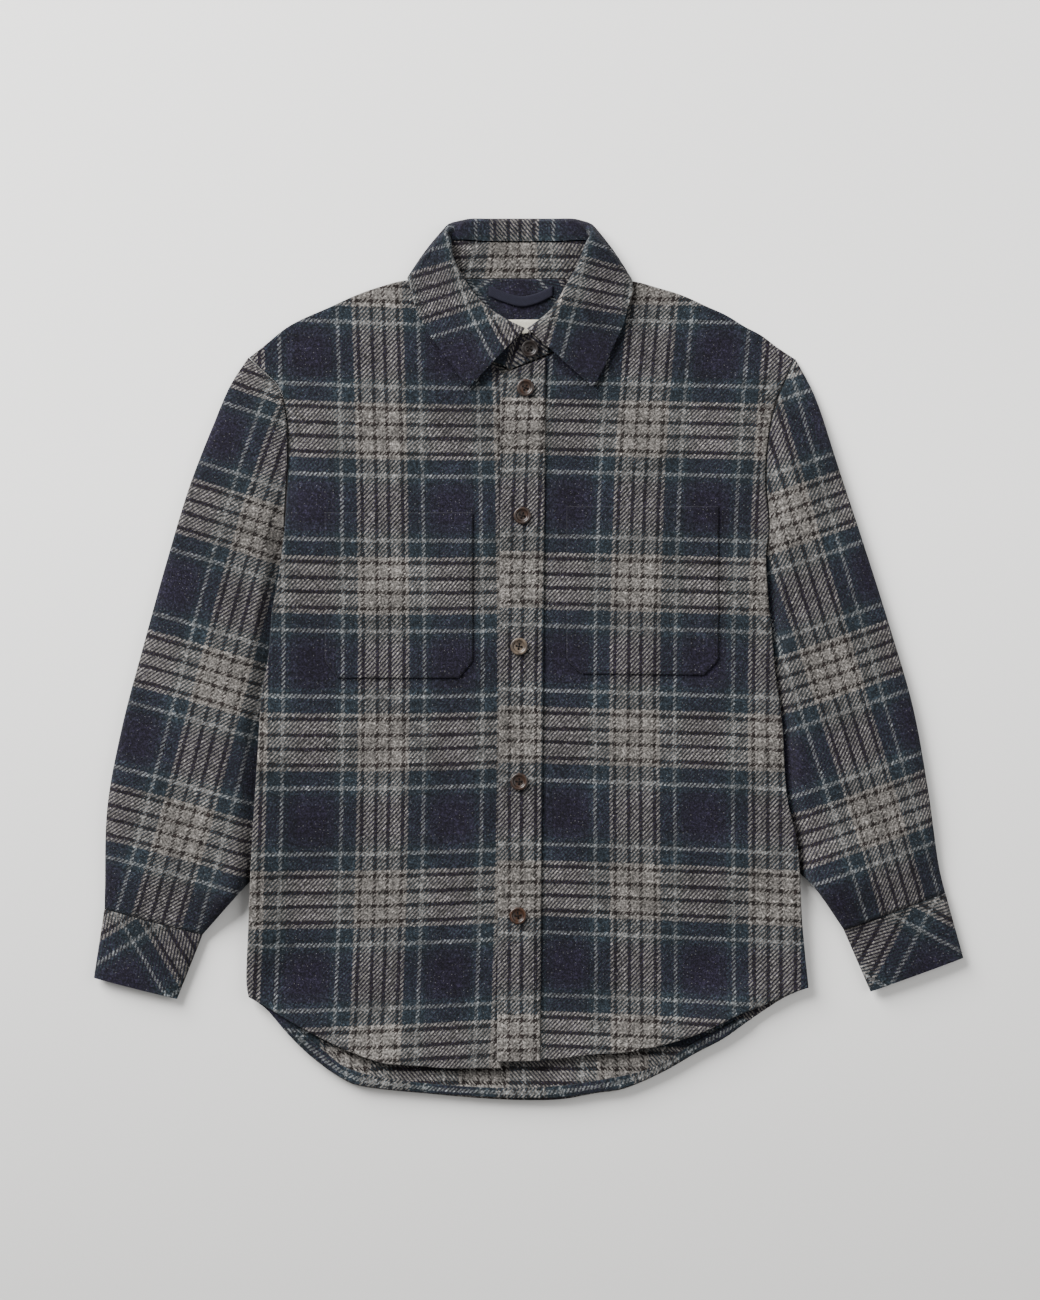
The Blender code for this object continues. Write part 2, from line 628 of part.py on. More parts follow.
def add_collar(pile, materials, collection):
    sections = collar_sections()
    stand_rows = [make_section(LAP_OVER, 0)] + sections + [make_section(LAP_UNDER, 0)]
    grid = np.array([[s.seam + (s.top - s.seam) * k / STAND_CELLS for k in range(STAND_CELLS + 1)]
                     for s in stand_rows])
    for rows in (slice(0, len(COLLAR_LEFT) + 2), slice(-len(COLLAR_RIGHT) - 2, None)):
        clear_pile(grid[rows], STAND, pile)
    stand = add_mesh("collar_stand", grid.reshape(-1, 3), grid_faces(*grid.shape[:2]),
                     materials["stand"], collection)
    thicken(stand, STAND, 0)
    pile.add_object(stand)
    leaf_grid = np.array([leaf_profile(s, row[-1]) for s, row in zip(sections, grid[1:-1])])
    for rows in (slice(0, len(COLLAR_LEFT) + 1), slice(-len(COLLAR_RIGHT) - 1, None)):
        clear_pile(leaf_grid[rows, -FALL_CELLS - 1:], DOUBLED, pile)
    leaf = add_mesh("collar_leaf", leaf_grid.reshape(-1, 3), grid_faces(*leaf_grid.shape[:2]),
                    materials["leaf"], collection)
    thicken(leaf, DOUBLED, 0)


def hidden_fall():
    """The top of the leaf where it lies under the back, which the back rests on."""
    fall = [s for s in collar_sections() if s.normal[2] < -0.99]
    grid = np.array([np.linspace(s.roll, s.edge, HIDDEN_CELLS + 1) for s in fall])
    grid[:, :, 2] += DOUBLED / 2
    return grid


def add_buttons(pile, material, collection, cutters):
    """Turned buttons with a sunk face and four holes."""
    mesh = bpy.data.meshes.new("button_profile")
    mesh.from_pydata([(x * BUTTON_RADIUS, 0, z * BUTTON_HEIGHT) for x, z in BUTTON_PROFILE],
                     [(i, i + 1) for i in range(len(BUTTON_PROFILE) - 1)], [])
    mesh.materials.append(material)
    posts = hole_posts()
    around = (-BUTTON_RADIUS / 2, 0, BUTTON_RADIUS / 2)
    for number, (x, y) in enumerate(BUTTONS, 1):
        button = bpy.data.objects.new(f"button_{number}", mesh)
        collection.objects.link(button)
        level = max(pile.height(x * MM + dx, y * MM + dy) for dx in around for dy in around)
        button.location = (x * MM, y * MM, level + BUTTON_AIR)
        turn = button.modifiers.new("turned", "SCREW")
        turn.steps = BUTTON_STEPS
        turn.render_steps = BUTTON_STEPS
        turn.use_merge_vertices = True
        turn.merge_threshold = 0.00001
        cutter = bpy.data.objects.new(f"holes_{number}", posts)
        cutter.location = button.location
        cutter.hide_render = True
        cutter.display_type = "WIRE"
        cutters.objects.link(cutter)
        cut = button.modifiers.new("holes", "BOOLEAN")
        cut.operation = "DIFFERENCE"
        cut.solver = "EXACT"
        cut.object = cutter


def hole_posts():
    """Four posts in one mesh, which cut a button's holes."""
    posts = bmesh.new()
    for dx in (-HOLE_SPREAD, HOLE_SPREAD):
        for dy in (-HOLE_SPREAD, HOLE_SPREAD):
            bmesh.ops.create_cone(posts, cap_ends=True, segments=HOLE_SIDES, radius1=HOLE_RADIUS,
                                  radius2=HOLE_RADIUS, depth=HOLE_POST,
                                  matrix=Matrix.Translation((dx, dy, 0)))
    mesh = bpy.data.meshes.new("holes")
    posts.to_mesh(mesh)
    posts.free()
    return mesh


def make_material(name, colour, roughness):
    material = bpy.data.materials.new(name)
    material.use_nodes = True
    shader = material.node_tree.nodes["Principled BSDF"]
    shader.inputs["Base Color"].default_value = (*colour, 1.0)
    shader.inputs["Roughness"].default_value = roughness
    shader.inputs["Metallic"].default_value = 0.0
    return material


def make_materials():
    return {
        "body": make_material("body_cloth", (0.060, 0.066, 0.080), 0.95),
        "front": make_material("front_cloth", (0.075, 0.080, 0.092), 0.95),
        "sleeve": make_material("sleeve_cloth", (0.066, 0.072, 0.086), 0.95),
        "cuff": make_material("cuff_cloth", (0.050, 0.056, 0.070), 0.95),
        "pocket": make_material("pocket_cloth", (0.090, 0.095, 0.105), 0.95),
        "placket": make_material("placket_cloth", (0.120, 0.122, 0.124), 0.95),
        "leaf": make_material("collar_cloth", (0.070, 0.074, 0.086), 0.95),
        "stand": make_material("stand_cloth", (0.100, 0.100, 0.106), 0.95),
        "facing": make_material("facing_cloth", (0.085, 0.088, 0.095), 0.95),
        "loop": make_material("loop_cloth", (0.030, 0.032, 0.045), 0.95),
        "label": make_material("label_cotton", (0.72, 0.69, 0.62), 0.9),
        "button": make_material("brown_horn", (0.055, 0.030, 0.018), 0.35),
    }


def clear_scene():
    for old in list(bpy.data.objects):
        bpy.data.objects.remove(old)


def add_collection(name):
    collection = bpy.data.collections.new(name)
    bpy.context.scene.collection.children.link(collection)
    return collection


def main():
    clear_scene()
    collection, cutters = add_collection(NAME), add_collection("cutters")
    materials = make_materials()
    pile = Pile()
    add_sleeves(pile, materials["sleeve"], collection)
    add_cuffs(pile, materials["cuff"], collection)
    fall = hidden_fall()
    pile.add_faces([Vector(p) for p in fall.reshape(-1, 3)], grid_faces(*fall.shape[:2]))
    back = add_panel("back", lay(back_plan(), pile, SEAM), CLOTH, materials["body"], collection)
    pile.add_object(back)
    add_inside_of_back(pile, materials, collection)
    left, right = front_plans()
    fronts = []
    for name, plan, side in (("front_left", left, 0), ("front_right", right, -1)):
        under = lay(plan, pile, pressed(plan, side))
        fronts.append(add_panel(name, under, CLOTH, materials["front"], collection))
    for front in fronts:
        pile.add_object(front)
    add_pockets(pile, materials["pocket"], collection)
    add_placket(pile, materials["placket"], collection)
    add_collar(pile, materials, collection)
    add_buttons(pile, materials["button"], collection, cutters)


main()
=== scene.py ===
"""The looks of a heavy wool check shirt jacket, buttoned up and laid flat, seen from above.

Metres, +Z up, +X to the right of someone looking down at it and +Y towards the collar. Every cloth
is a fine shell on its solid's form. The tables hold plan points in millimetres.
"""

from __future__ import annotations

import json
import logging
import math
from dataclasses import dataclass, field
from enum import Enum

import bmesh
import bpy
import numpy as np
from mathutils import Matrix, Vector
from mathutils.bvhtree import BVHTree

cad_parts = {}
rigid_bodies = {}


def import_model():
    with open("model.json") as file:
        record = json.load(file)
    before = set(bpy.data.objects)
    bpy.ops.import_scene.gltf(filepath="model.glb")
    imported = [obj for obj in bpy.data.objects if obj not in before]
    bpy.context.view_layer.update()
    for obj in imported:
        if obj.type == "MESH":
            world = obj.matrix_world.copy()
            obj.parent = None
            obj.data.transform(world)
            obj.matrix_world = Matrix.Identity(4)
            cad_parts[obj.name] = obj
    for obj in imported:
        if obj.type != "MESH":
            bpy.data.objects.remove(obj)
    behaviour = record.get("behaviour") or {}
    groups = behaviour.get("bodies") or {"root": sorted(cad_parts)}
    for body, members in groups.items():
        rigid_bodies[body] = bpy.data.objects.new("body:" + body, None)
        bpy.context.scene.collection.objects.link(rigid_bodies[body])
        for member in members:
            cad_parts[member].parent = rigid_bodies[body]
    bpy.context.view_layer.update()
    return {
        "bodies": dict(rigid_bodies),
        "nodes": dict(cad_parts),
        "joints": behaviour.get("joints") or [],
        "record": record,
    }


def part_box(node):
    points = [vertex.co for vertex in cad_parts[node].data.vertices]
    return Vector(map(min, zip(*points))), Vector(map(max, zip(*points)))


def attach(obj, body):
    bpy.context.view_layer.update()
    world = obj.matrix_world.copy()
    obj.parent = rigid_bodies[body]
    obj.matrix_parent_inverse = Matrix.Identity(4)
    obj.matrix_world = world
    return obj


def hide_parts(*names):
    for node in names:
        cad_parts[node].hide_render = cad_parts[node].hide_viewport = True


LOG = logging.getLogger("shacket")
MM = 0.001
ROOT = "root"
DOWN = Vector((0, 0, -1))

Points = tuple[tuple[float, float], ...]

# Seams and edges of the body
ARMHOLE_LEFT: Points = ((-265, 285), (-250, 271), (-236, 256), (-229, 225), (-228, 190),
                        (-231, 124), (-236, 82), (-243, 45))
SIDE_LEFT: Points = ((-243, 45), (-246, 5), (-253, -40), (-257, -97), (-262, -182), (-265, -249),
                     (-267, -309), (-265, -321))
ARMHOLE_RIGHT: Points = ((252, 284), (243, 264), (233, 238), (227, 205), (225, 168), (228, 124),
                         (225, 94), (228, 45))
SIDE_RIGHT: Points = ((228, 45), (230, 30), (233, -6), (240, -61), (245, -133), (254, -173),
                      (259, -251), (265, -312))
SHOULDER_LEFT: Points = ((-265, 285), (-251, 296), (-227, 315), (-186, 334), (-164, 344),
                         (-141, 352), (-117, 358), (-99, 357.5))
SHOULDER_RIGHT: Points = ((82, 357.5), (100, 357), (123, 351), (146, 344), (168, 334), (188, 325),
                          (204, 315), (221, 306), (234, 296), (252, 284))
BACK_NECK: Points = ((-99, 357.5), (-80, 359), (63, 359), (82, 357.5))
BACK_HEM: Points = ((-265, -321), (-249, -332), (-230, -354), (-209, -375), (-181, -396),
                    (-165, -404), (-143, -408), (-103, -412), (-27, -418), (30, -418), (65, -412),
                    (87, -409), (111, -400), (135, -388), (159, -374), (184, -361), (208, -344),
                    (227, -331), (245, -320), (265, -312))
FRONT_HEM_LEFT: Points = ((-265, -321), (-249, -330), (-217, -349), (-192, -362), (-168, -373),
                          (-149, -380), (-134, -384), (-103, -386), (-80, -388), (-26, -388))
FRONT_HEM_RIGHT: Points = ((-25, -381), (12, -381), (64, -375), (87, -374), (123, -367),
                           (148, -360), (178, -348), (196, -339), (227, -327), (245, -319),
                           (265, -312))
FACING_LOWER: Points = ((-222, -361), (-209, -374), (-181, -395), (-165, -403), (-143, -407),
                        (-103, -411), (-27, -416), (30, -416), (65, -411), (87, -408),
                        (111, -399), (135, -387), (159, -373), (184, -360), (208, -343))
FACING_UPPER: Points = ((-219, -353), (-205, -363), (-189, -376), (-176, -386), (-154, -394),
                        (-103, -402), (-27, -407), (30, -405), (65, -400), (87, -396),
                        (111, -390), (127, -383), (154, -366), (171, -356), (203, -340))
NECK_LEFT: Points = ((-99, 357.5), (-95.4, 353), (-91, 338), (-77.5, 317.6), (-59.4, 297.6),
                     (-39, 282.2), (-22, 269))
NECK_RIGHT: Points = ((-21.2, 269), (0, 280), (22.3, 288.4), (42.3, 297.5), (59.6, 317.8),
                      (73, 337), (77.8, 350), (82, 357.5))

# Sleeves: their heads, beside the armholes and then under the body, and their edges to the wrist
HEAD_GAP = 0.6
SLEEVE_HEAD_LEFT: Points = (*((x - HEAD_GAP, y) for x, y in ARMHOLE_LEFT[:5]),
                            (-231.6, 126), (-229, 92), (-226, 50))
SLEEVE_HEAD_RIGHT: Points = (*((x + HEAD_GAP, y) for x, y in ARMHOLE_RIGHT[:6]),
                             (224.5, 90), (218, 50))
SLEEVE_OUTER_LEFT: Points = ((-266, 285), (-283, 258), (-299, 220), (-321, 163), (-344, 87),
                             (-365, 11), (-385, -65), (-399, -141), (-401.5, -217), (-402, -237.6))
SLEEVE_INNER_LEFT: Points = ((-226, 50), (-225, -2), (-225, -59), (-226, -116), (-236, -168),
                             (-253, -201), (-266, -214), (-309, -262.1))
SLEEVE_OUTER_RIGHT: Points = ((253, 284), (271, 249), (293, 182), (318, 106), (342, 30),
                              (364, -46), (378, -122), (389, -198), (395, -222.6))
SLEEVE_INNER_RIGHT: Points = ((218, 50), (219, -7), (218, -64), (220, -116), (231, -168),
                              (246, -194), (256, -203), (271, -218), (298.5, -257.1))
CUFF_LEFT: Points = ((-402, -238), (-309, -262.5), (-412, -303), (-333, -323))
CUFF_RIGHT: Points = ((298.6, -257.5), (395.1, -223), (324, -316), (412, -284))

PLACKET_LEFT: Points = ((-26.5, 269), (-30, -382))
PLACKET_RIGHT: Points = ((16.5, 285), (11, -381))
POCKET_LEFT: Points = ((-193, 138), (-53, 138), (-53, -3), (-66, -19), (-181, -19), (-193, -3))
POCKET_RIGHT: Points = ((36, 144), (180, 144), (180, -2), (166, -16), (50, -15), (36, -2))
BUTTONS: Points = ((1, 293), (-3, 256), (-6, 135), (-9, 11), (-9, -117), (-10, -244))
LOOP_TOP: Points = ((-38, 353), (-23, 347), (-7, 343), (8, 346), (23, 353))
LOOP_WIDTH, LOOP_LENGTH, LOOP_CUT = 10 * MM, 65 * MM, 66 * MM
LABEL_CORNERS: Points = ((-27, 321), (23, 321), (-27, 301), (23, 301))

# Sizes of the walls and grids
CLOTH = 1.8 * MM
DOUBLED = 2.4 * MM
STAND = 2.0 * MM
FACING = 1.2 * MM
TAPE = 1.0 * MM
CELL = 4.5 * MM
LIP_STEPS = (0.4 * MM, 1.1 * MM, 2.0 * MM, 3.2 * MM)
LIP = 2.2 * MM
DRIFT_UNIT = 0.2


def catmull(four: np.ndarray, steps: int = 12) -> np.ndarray:
    """A centripetal arc from the second to the third of four points.

    Args:
        four: four points, one a row.
        steps: how many points it gives, without the last.

    Returns:
        The arc's points.
    """
    knot = [0.0]
    for start, end in zip(four[:-1], four[1:]):
        knot.append(knot[-1] + math.sqrt(max(np.linalg.norm(end - start), 1e-9)))
    t = np.linspace(knot[1], knot[2], steps, endpoint=False)[:, None]
    first = [((knot[i + 1] - t) * four[i] + (t - knot[i]) * four[i + 1]) / (knot[i + 1] - knot[i])
             for i in range(3)]
    second = [((knot[i + 2] - t) * first[i] + (t - knot[i]) * first[i + 1])
              / (knot[i + 2] - knot[i]) for i in range(2)]
    return ((knot[2] - t) * second[0] + (t - knot[1]) * second[1]) / (knot[2] - knot[1])


def smooth_line(points: Points | np.ndarray) -> np.ndarray:
    """A smooth, finely stepped line through a table's points.

    Args:
        points: plan points in millimetres.

    Returns:
        Plan points in metres.
    """
    knots = np.array(points, float) * MM
    if len(knots) > 2:
        padded = np.vstack([2 * knots[0] - knots[1], knots, 2 * knots[-1] - knots[-2]])
        pieces = [catmull(padded[i:i + 4]) for i in range(len(knots) - 1)]
        knots = np.vstack(pieces + [knots[-1:]])
    return knots


def length_of(line: np.ndarray) -> float:
    """The length of a line of points."""
    return float(np.linalg.norm(np.diff(line, axis=0), axis=1).sum())


def at_shares(line: np.ndarray, shares: np.ndarray) -> np.ndarray:
    """Points of a line at shares of its length.

    Args:
        line: points of two or three coordinates.
        shares: from 0 to 1.

    Returns:
        One point for each share.
    """
    along = np.concatenate([[0], np.cumsum(np.linalg.norm(np.diff(line, axis=0), axis=1))])
    return np.stack([np.interp(shares * along[-1], along, line[:, k])
                     for k in range(line.shape[1])], axis=1)


def graded(length: float, cell: float, lips: tuple[float, ...] = LIP_STEPS) -> np.ndarray:
    """Shares of a run of cloth, close together at its two edges so that they can turn round.

    Args:
        length: the run's length in metres.
        cell: the step between the edges.
        lips: distances of the first steps from an edge.

    Returns:
        Shares from 0 to 1.
    """
    near = np.array(lips) / length
    inner = np.linspace(near[-1], 1 - near[-1], max(3, round(length / cell)))
    return np.concatenate([[0], near[:-1], inner, 1 - near[-2::-1], [1]])


def patch(left: np.ndarray, right: np.ndarray, lower: np.ndarray, upper: np.ndarray,
          u: np.ndarray, v: np.ndarray) -> np.ndarray:
    """A plan grid inside four lines.

    Args:
        left, right: the lines that run up.
        lower, upper: the lines that run to the right.
        u: shares of the columns.
        v: shares of the rows.

    Returns:
        A grid of plan points, by row and column.
    """
    left, right = at_shares(left, v), at_shares(right, v)
    lower, upper = at_shares(lower, u), at_shares(upper, u)
    v, u = v[:, None, None], u[None, :, None]
    across = (1 - u) * left[:, None] + u * right[:, None]
    along = (1 - v) * lower[None] + v * upper[None]
    corners = ((1 - u) * (1 - v) * lower[0] + u * (1 - v) * lower[-1]
               + (1 - u) * v * upper[0] + u * v * upper[-1])
    return across + along - corners


def four_sided(corners: Points, u: np.ndarray, v: np.ndarray) -> np.ndarray:
    """A plan grid between four corners.

    Args:
        corners: upper left, upper right, lower left and lower right, in millimetres.
        u: shares of the columns.
        v: shares of the rows.

    Returns:
        A grid of plan points, by row and column.
    """
    top_left, top_right, low_left, low_right = np.array(corners, float) * MM
    return patch(np.array([low_left, top_left]), np.array([low_right, top_right]),
                 np.array([low_left, low_right]), np.array([top_left, top_right]), u, v)


def filled(heights: np.ndarray) -> np.ndarray:
    """Heights with their gaps filled from the nearest ones.

    Args:
        heights: a grid with NaN where nothing was found.

    Returns:
        The grid without gaps.
    """
    heights = heights.copy()
    while np.isnan(heights).any():
        padded = np.pad(heights, 1, constant_values=np.nan)
        around = np.stack([padded[:-2, 1:-1], padded[2:, 1:-1], padded[1:-1, :-2],
                           padded[1:-1, 2:]])
        known = ~np.isnan(around)
        total = np.where(known, around, 0).sum(0)
        count = known.sum(0)
        gaps = np.isnan(heights) & (count > 0)
        if not gaps.any():
            raise ValueError("a piece lies nowhere over its solid")
        heights[gaps] = total[gaps] / count[gaps]
    return heights


def softened(heights: np.ndarray, rounds: int) -> np.ndarray:
    """Heights with their kinks rounded off.

    Args:
        heights: a grid.
        rounds: how often each is averaged with its neighbours.

    Returns:
        The softened grid.
    """
    for _ in range(rounds):
        for axis in (0, 1):
            padded = np.pad(heights, [(1, 1) if k == axis else (0, 0) for k in (0, 1)],
                            mode="edge")
            low, high = (np.take(padded, range(s, s + heights.shape[axis]), axis) for s in (0, 2))
            heights = heights / 2 + (low + high) / 4
    return heights


def smooth_step(x: np.ndarray, low: float, high: float) -> np.ndarray:
    """0 up to low, 1 from high on, and a soft rise between them."""
    t = np.clip((x - low) / (high - low), 0, 1)
    return t * t * (3 - 2 * t)


class Form:
    """The shape of one solid of the frame."""

    def __init__(self, frame: dict, node: str) -> None:
        """Reads the solid of a node."""
        mesh = frame["nodes"][node].data
        self.tree = BVHTree.FromPolygons([v.co.copy() for v in mesh.vertices],
                                         [tuple(p.vertices) for p in mesh.polygons])

    def top(self, plan: np.ndarray, border: int = 2) -> np.ndarray:
        """Heights of the solid's upper face.

        Args:
            plan: a grid of plan points.
            border: how many outer rings of the grid take the height of the next one inside.

        Returns:
            A grid of heights in metres.
        """
        heights = np.full(plan.shape[:2], np.nan)
        for row in range(border, plan.shape[0] - border):
            for column in range(border, plan.shape[1] - border):
                x, y = plan[row, column]
                hit = self.tree.ray_cast(Vector((x, y, 1)), DOWN)[0]
                if hit is not None:
                    heights[row, column] = hit.z
        return filled(heights)


@dataclass(frozen=True)
class Crease:
    """A soft ridge (or trough, with a negative height) along a line, in millimetres."""

    start: tuple[float, float]
    end: tuple[float, float]
    width: float
    height: float

    def lift(self, plan: np.ndarray) -> np.ndarray:
        """How far it lifts each plan point, in metres."""
        start, end = np.array(self.start) * MM, np.array(self.end) * MM
        run = end - start
        t = ((plan - start) @ run) / (run @ run)
        inside = np.clip(t, 0, 1)
        away = np.linalg.norm(plan - start - inside[..., None] * run, axis=-1)
        taper = np.sin(np.pi * np.clip(t * 0.9 + 0.05, 0, 1)) ** 0.8
        return self.height * MM * np.exp(-(away / (self.width * MM)) ** 2) * taper


@dataclass(frozen=True)
class Relief:
    """The unevenness of the cloth, the same for every layer over a place."""

    creases: tuple[Crease, ...]
    swell: float = 0.5 * MM
    seed: int = 5

    def lift(self, plan: np.ndarray) -> np.ndarray:
        """How far it lifts each plan point, in metres."""
        total = sum((c.lift(plan) for c in self.creases), np.zeros(plan.shape[:-1]))
        rng = np.random.default_rng(self.seed)
        waves = np.zeros(plan.shape[:-1])
        for _ in range(14):
            turn, size, phase = rng.uniform(0, math.pi), rng.uniform(0.06, 0.2), rng.uniform(0, 7)
            along = plan[..., 0] * math.cos(turn) + plan[..., 1] * math.sin(turn)
            waves += np.sin(along / size * 2 * math.pi + phase) * size
        return np.maximum(total, -1.2 * MM) + self.swell * (waves / np.abs(waves).max() + 1)


@dataclass(frozen=True)
class Lay:
    """How a piece is cut from the check.

    centre is the plan point, in millimetres, where a pale warp band crosses a pale weft band, and
    turn is how far the warp leans to the right of +Y, in degrees. drift_u and drift_v are the
    cloth's drift in millimetres: factors of 1, A, B, AA, AB, BB and BBB, where A and B are
    distances from the centre across and along the warp in units of 200 mm.
    """

    centre: tuple[float, float]
    turn: float = 0.0
    wrong_side: bool = False
    drift_u: tuple[float, ...] = ()
    drift_v: tuple[float, ...] = ()

    def uv(self, plan: np.ndarray) -> np.ndarray:
        """Places on the cloth, in metres from the crossing, of plan points in metres."""
        away = plan - np.array(self.centre) * MM
        angle = math.radians(self.turn)
        across = away[..., 0] * math.cos(angle) - away[..., 1] * math.sin(angle)
        along = away[..., 0] * math.sin(angle) + away[..., 1] * math.cos(angle)
        a, b = across / DRIFT_UNIT, along / DRIFT_UNIT
        terms = (np.ones_like(a), a, b, a * a, a * b, b * b, b ** 3)
        u = across + sum(k * MM * term for k, term in zip(self.drift_u, terms))
        v = along + sum(k * MM * term for k, term in zip(self.drift_v, terms))
        return np.stack([-u if self.wrong_side else u, v], axis=-1)


def linked(name: str, data: bpy.types.ID | None) -> bpy.types.Object:
    """A new object of some data, linked into the scene."""
    made = bpy.data.objects.new(name, data)
    bpy.context.scene.collection.objects.link(made)
    return made


def link_mesh(name: str, points: np.ndarray, faces: list[tuple[int, ...]], uv: np.ndarray,
              material: bpy.types.Material, painted_edge_shade: np.ndarray | None = None) -> bpy.types.Object:
    """A mesh object with a weave map.

    Args:
        name: the piece's name.
        points: its corners.
        faces: corner numbers of each face, counter-clockwise from outside.
        uv: each corner's place on the cloth in metres.
        material: its finish.
        painted_edge_shade: each corner's share of the painted shade line along seams and edges.

    Returns:
        The object, linked into the scene.
    """
    mesh = bpy.data.meshes.new(name)
    mesh.from_pydata([tuple(p) for p in points], [], faces)
    corners = np.empty(len(mesh.loops), int)
    mesh.loops.foreach_get("vertex_index", corners)
    weave = mesh.uv_layers.new(name="weave")
    weave.uv.foreach_set("vector", uv[corners].ravel())
    if painted_edge_shade is not None:
        mesh.attributes.new("painted_edge_shade", "FLOAT", "POINT").data.foreach_set("value", painted_edge_shade)
    mesh.materials.append(material)
    mesh.shade_smooth()
    return linked(name, mesh)


def grid_faces(index: np.ndarray) -> list[tuple[int, ...]]:
    """The quads of a grid of corner numbers whose rows run up and columns run to the right."""
    low, high = index[:-1], index[1:]
    quads = np.stack([low[:, :-1], low[:, 1:], high[:, 1:], high[:, :-1]], axis=-1)
    return [tuple(int(k) for k in quad) for quad in quads.reshape(-1, 4)]


def link_grid(name: str, grid: np.ndarray, uv: np.ndarray,
              material: bpy.types.Material) -> bpy.types.Object:
    """An open surface from a grid of points, linked into the scene.

    Args:
        name: the piece's name.
        grid: points by row and column.
        uv: their places on the cloth.
        material: its finish.

    Returns:
        The object.
    """
    numbers = np.arange(grid.shape[0] * grid.shape[1]).reshape(grid.shape[:2])
    return link_mesh(name, grid.reshape(-1, 3), grid_faces(numbers), uv.reshape(-1, 2), material)


def make_shell(name: str, plan: np.ndarray, top: np.ndarray, wall: float, uv: np.ndarray,
               material: bpy.types.Material) -> bpy.types.Object:
    """A panel of cloth with soft round edges.

    Args:
        name: the piece's name.
        plan: a grid of plan points.
        top: the heights of its upper face.
        wall: the cloth's thickness.
        uv: places on the cloth.
        material: its finish.

    Returns:
        The closed shell.
    """
    rows, columns = top.shape
    across = np.linalg.norm(np.diff(plan, axis=1), axis=2)
    along = np.linalg.norm(np.diff(plan, axis=0), axis=2)
    zero_column, zero_row = np.zeros((rows, 1)), np.zeros((1, columns))
    left = np.hstack([zero_column, np.cumsum(across, axis=1)])
    low = np.vstack([zero_row, np.cumsum(along, axis=0)])
    away = np.minimum.reduce([left, left[:, -1:] - left, low, low[-1:] - low])
    sink = wall / 2 * (1 - np.sqrt(1 - (1 - np.clip(away / LIP, 0, 1)) ** 2))
    # Painted shade: corners on the very edge get a dark line in the colour, standing in for the
    # shade in the fold there.
    painted_edge_shade = (away < LIP_STEPS[0] / 2).astype(float)
    upper = np.dstack([plan, top - sink]).reshape(-1, 3)
    lower = np.dstack([plan, top - wall + sink])[1:-1, 1:-1].reshape(-1, 3)
    index = np.arange(rows * columns).reshape(rows, columns)
    under = index.copy()
    under[1:-1, 1:-1] = rows * columns + np.arange((rows - 2) * (columns - 2)).reshape(
        rows - 2, columns - 2)
    faces = grid_faces(index) + [face[::-1] for face in grid_faces(under)]
    both = np.vstack([uv.reshape(-1, 2), uv[1:-1, 1:-1].reshape(-1, 2)])
    rims = np.concatenate([painted_edge_shade.ravel(), painted_edge_shade[1:-1, 1:-1].ravel()])
    return link_mesh(name, np.vstack([upper, lower]), faces, both, material, rims)


def apply_modifiers(piece: bpy.types.Object) -> None:
    """Turn a piece's modifiers into its mesh."""
    depsgraph = bpy.context.evaluated_depsgraph_get()
    mesh = bpy.data.meshes.new_from_object(piece.evaluated_get(depsgraph))
    piece.modifiers.clear()
    piece.data = mesh


def thicken(piece: bpy.types.Object, wall: float, offset: float, edge: float = 0.0) -> None:
    """Give an open surface a wall and round its rims.

    Args:
        piece: the open surface.
        wall: its thickness.
        offset: -1 to grow inwards, 0 to both sides, 1 outwards.
        edge: the width of the rims' rounding.
    """
    solid = piece.modifiers.new("wall", "SOLIDIFY")
    solid.thickness = wall
    solid.offset = offset
    if edge:
        bevel = piece.modifiers.new("edge", "BEVEL")
        bevel.width = edge
        bevel.segments = 3
        bevel.limit_method = "ANGLE"
        bevel.angle_limit = math.radians(55)
    apply_modifiers(piece)
    piece.data.shade_smooth()


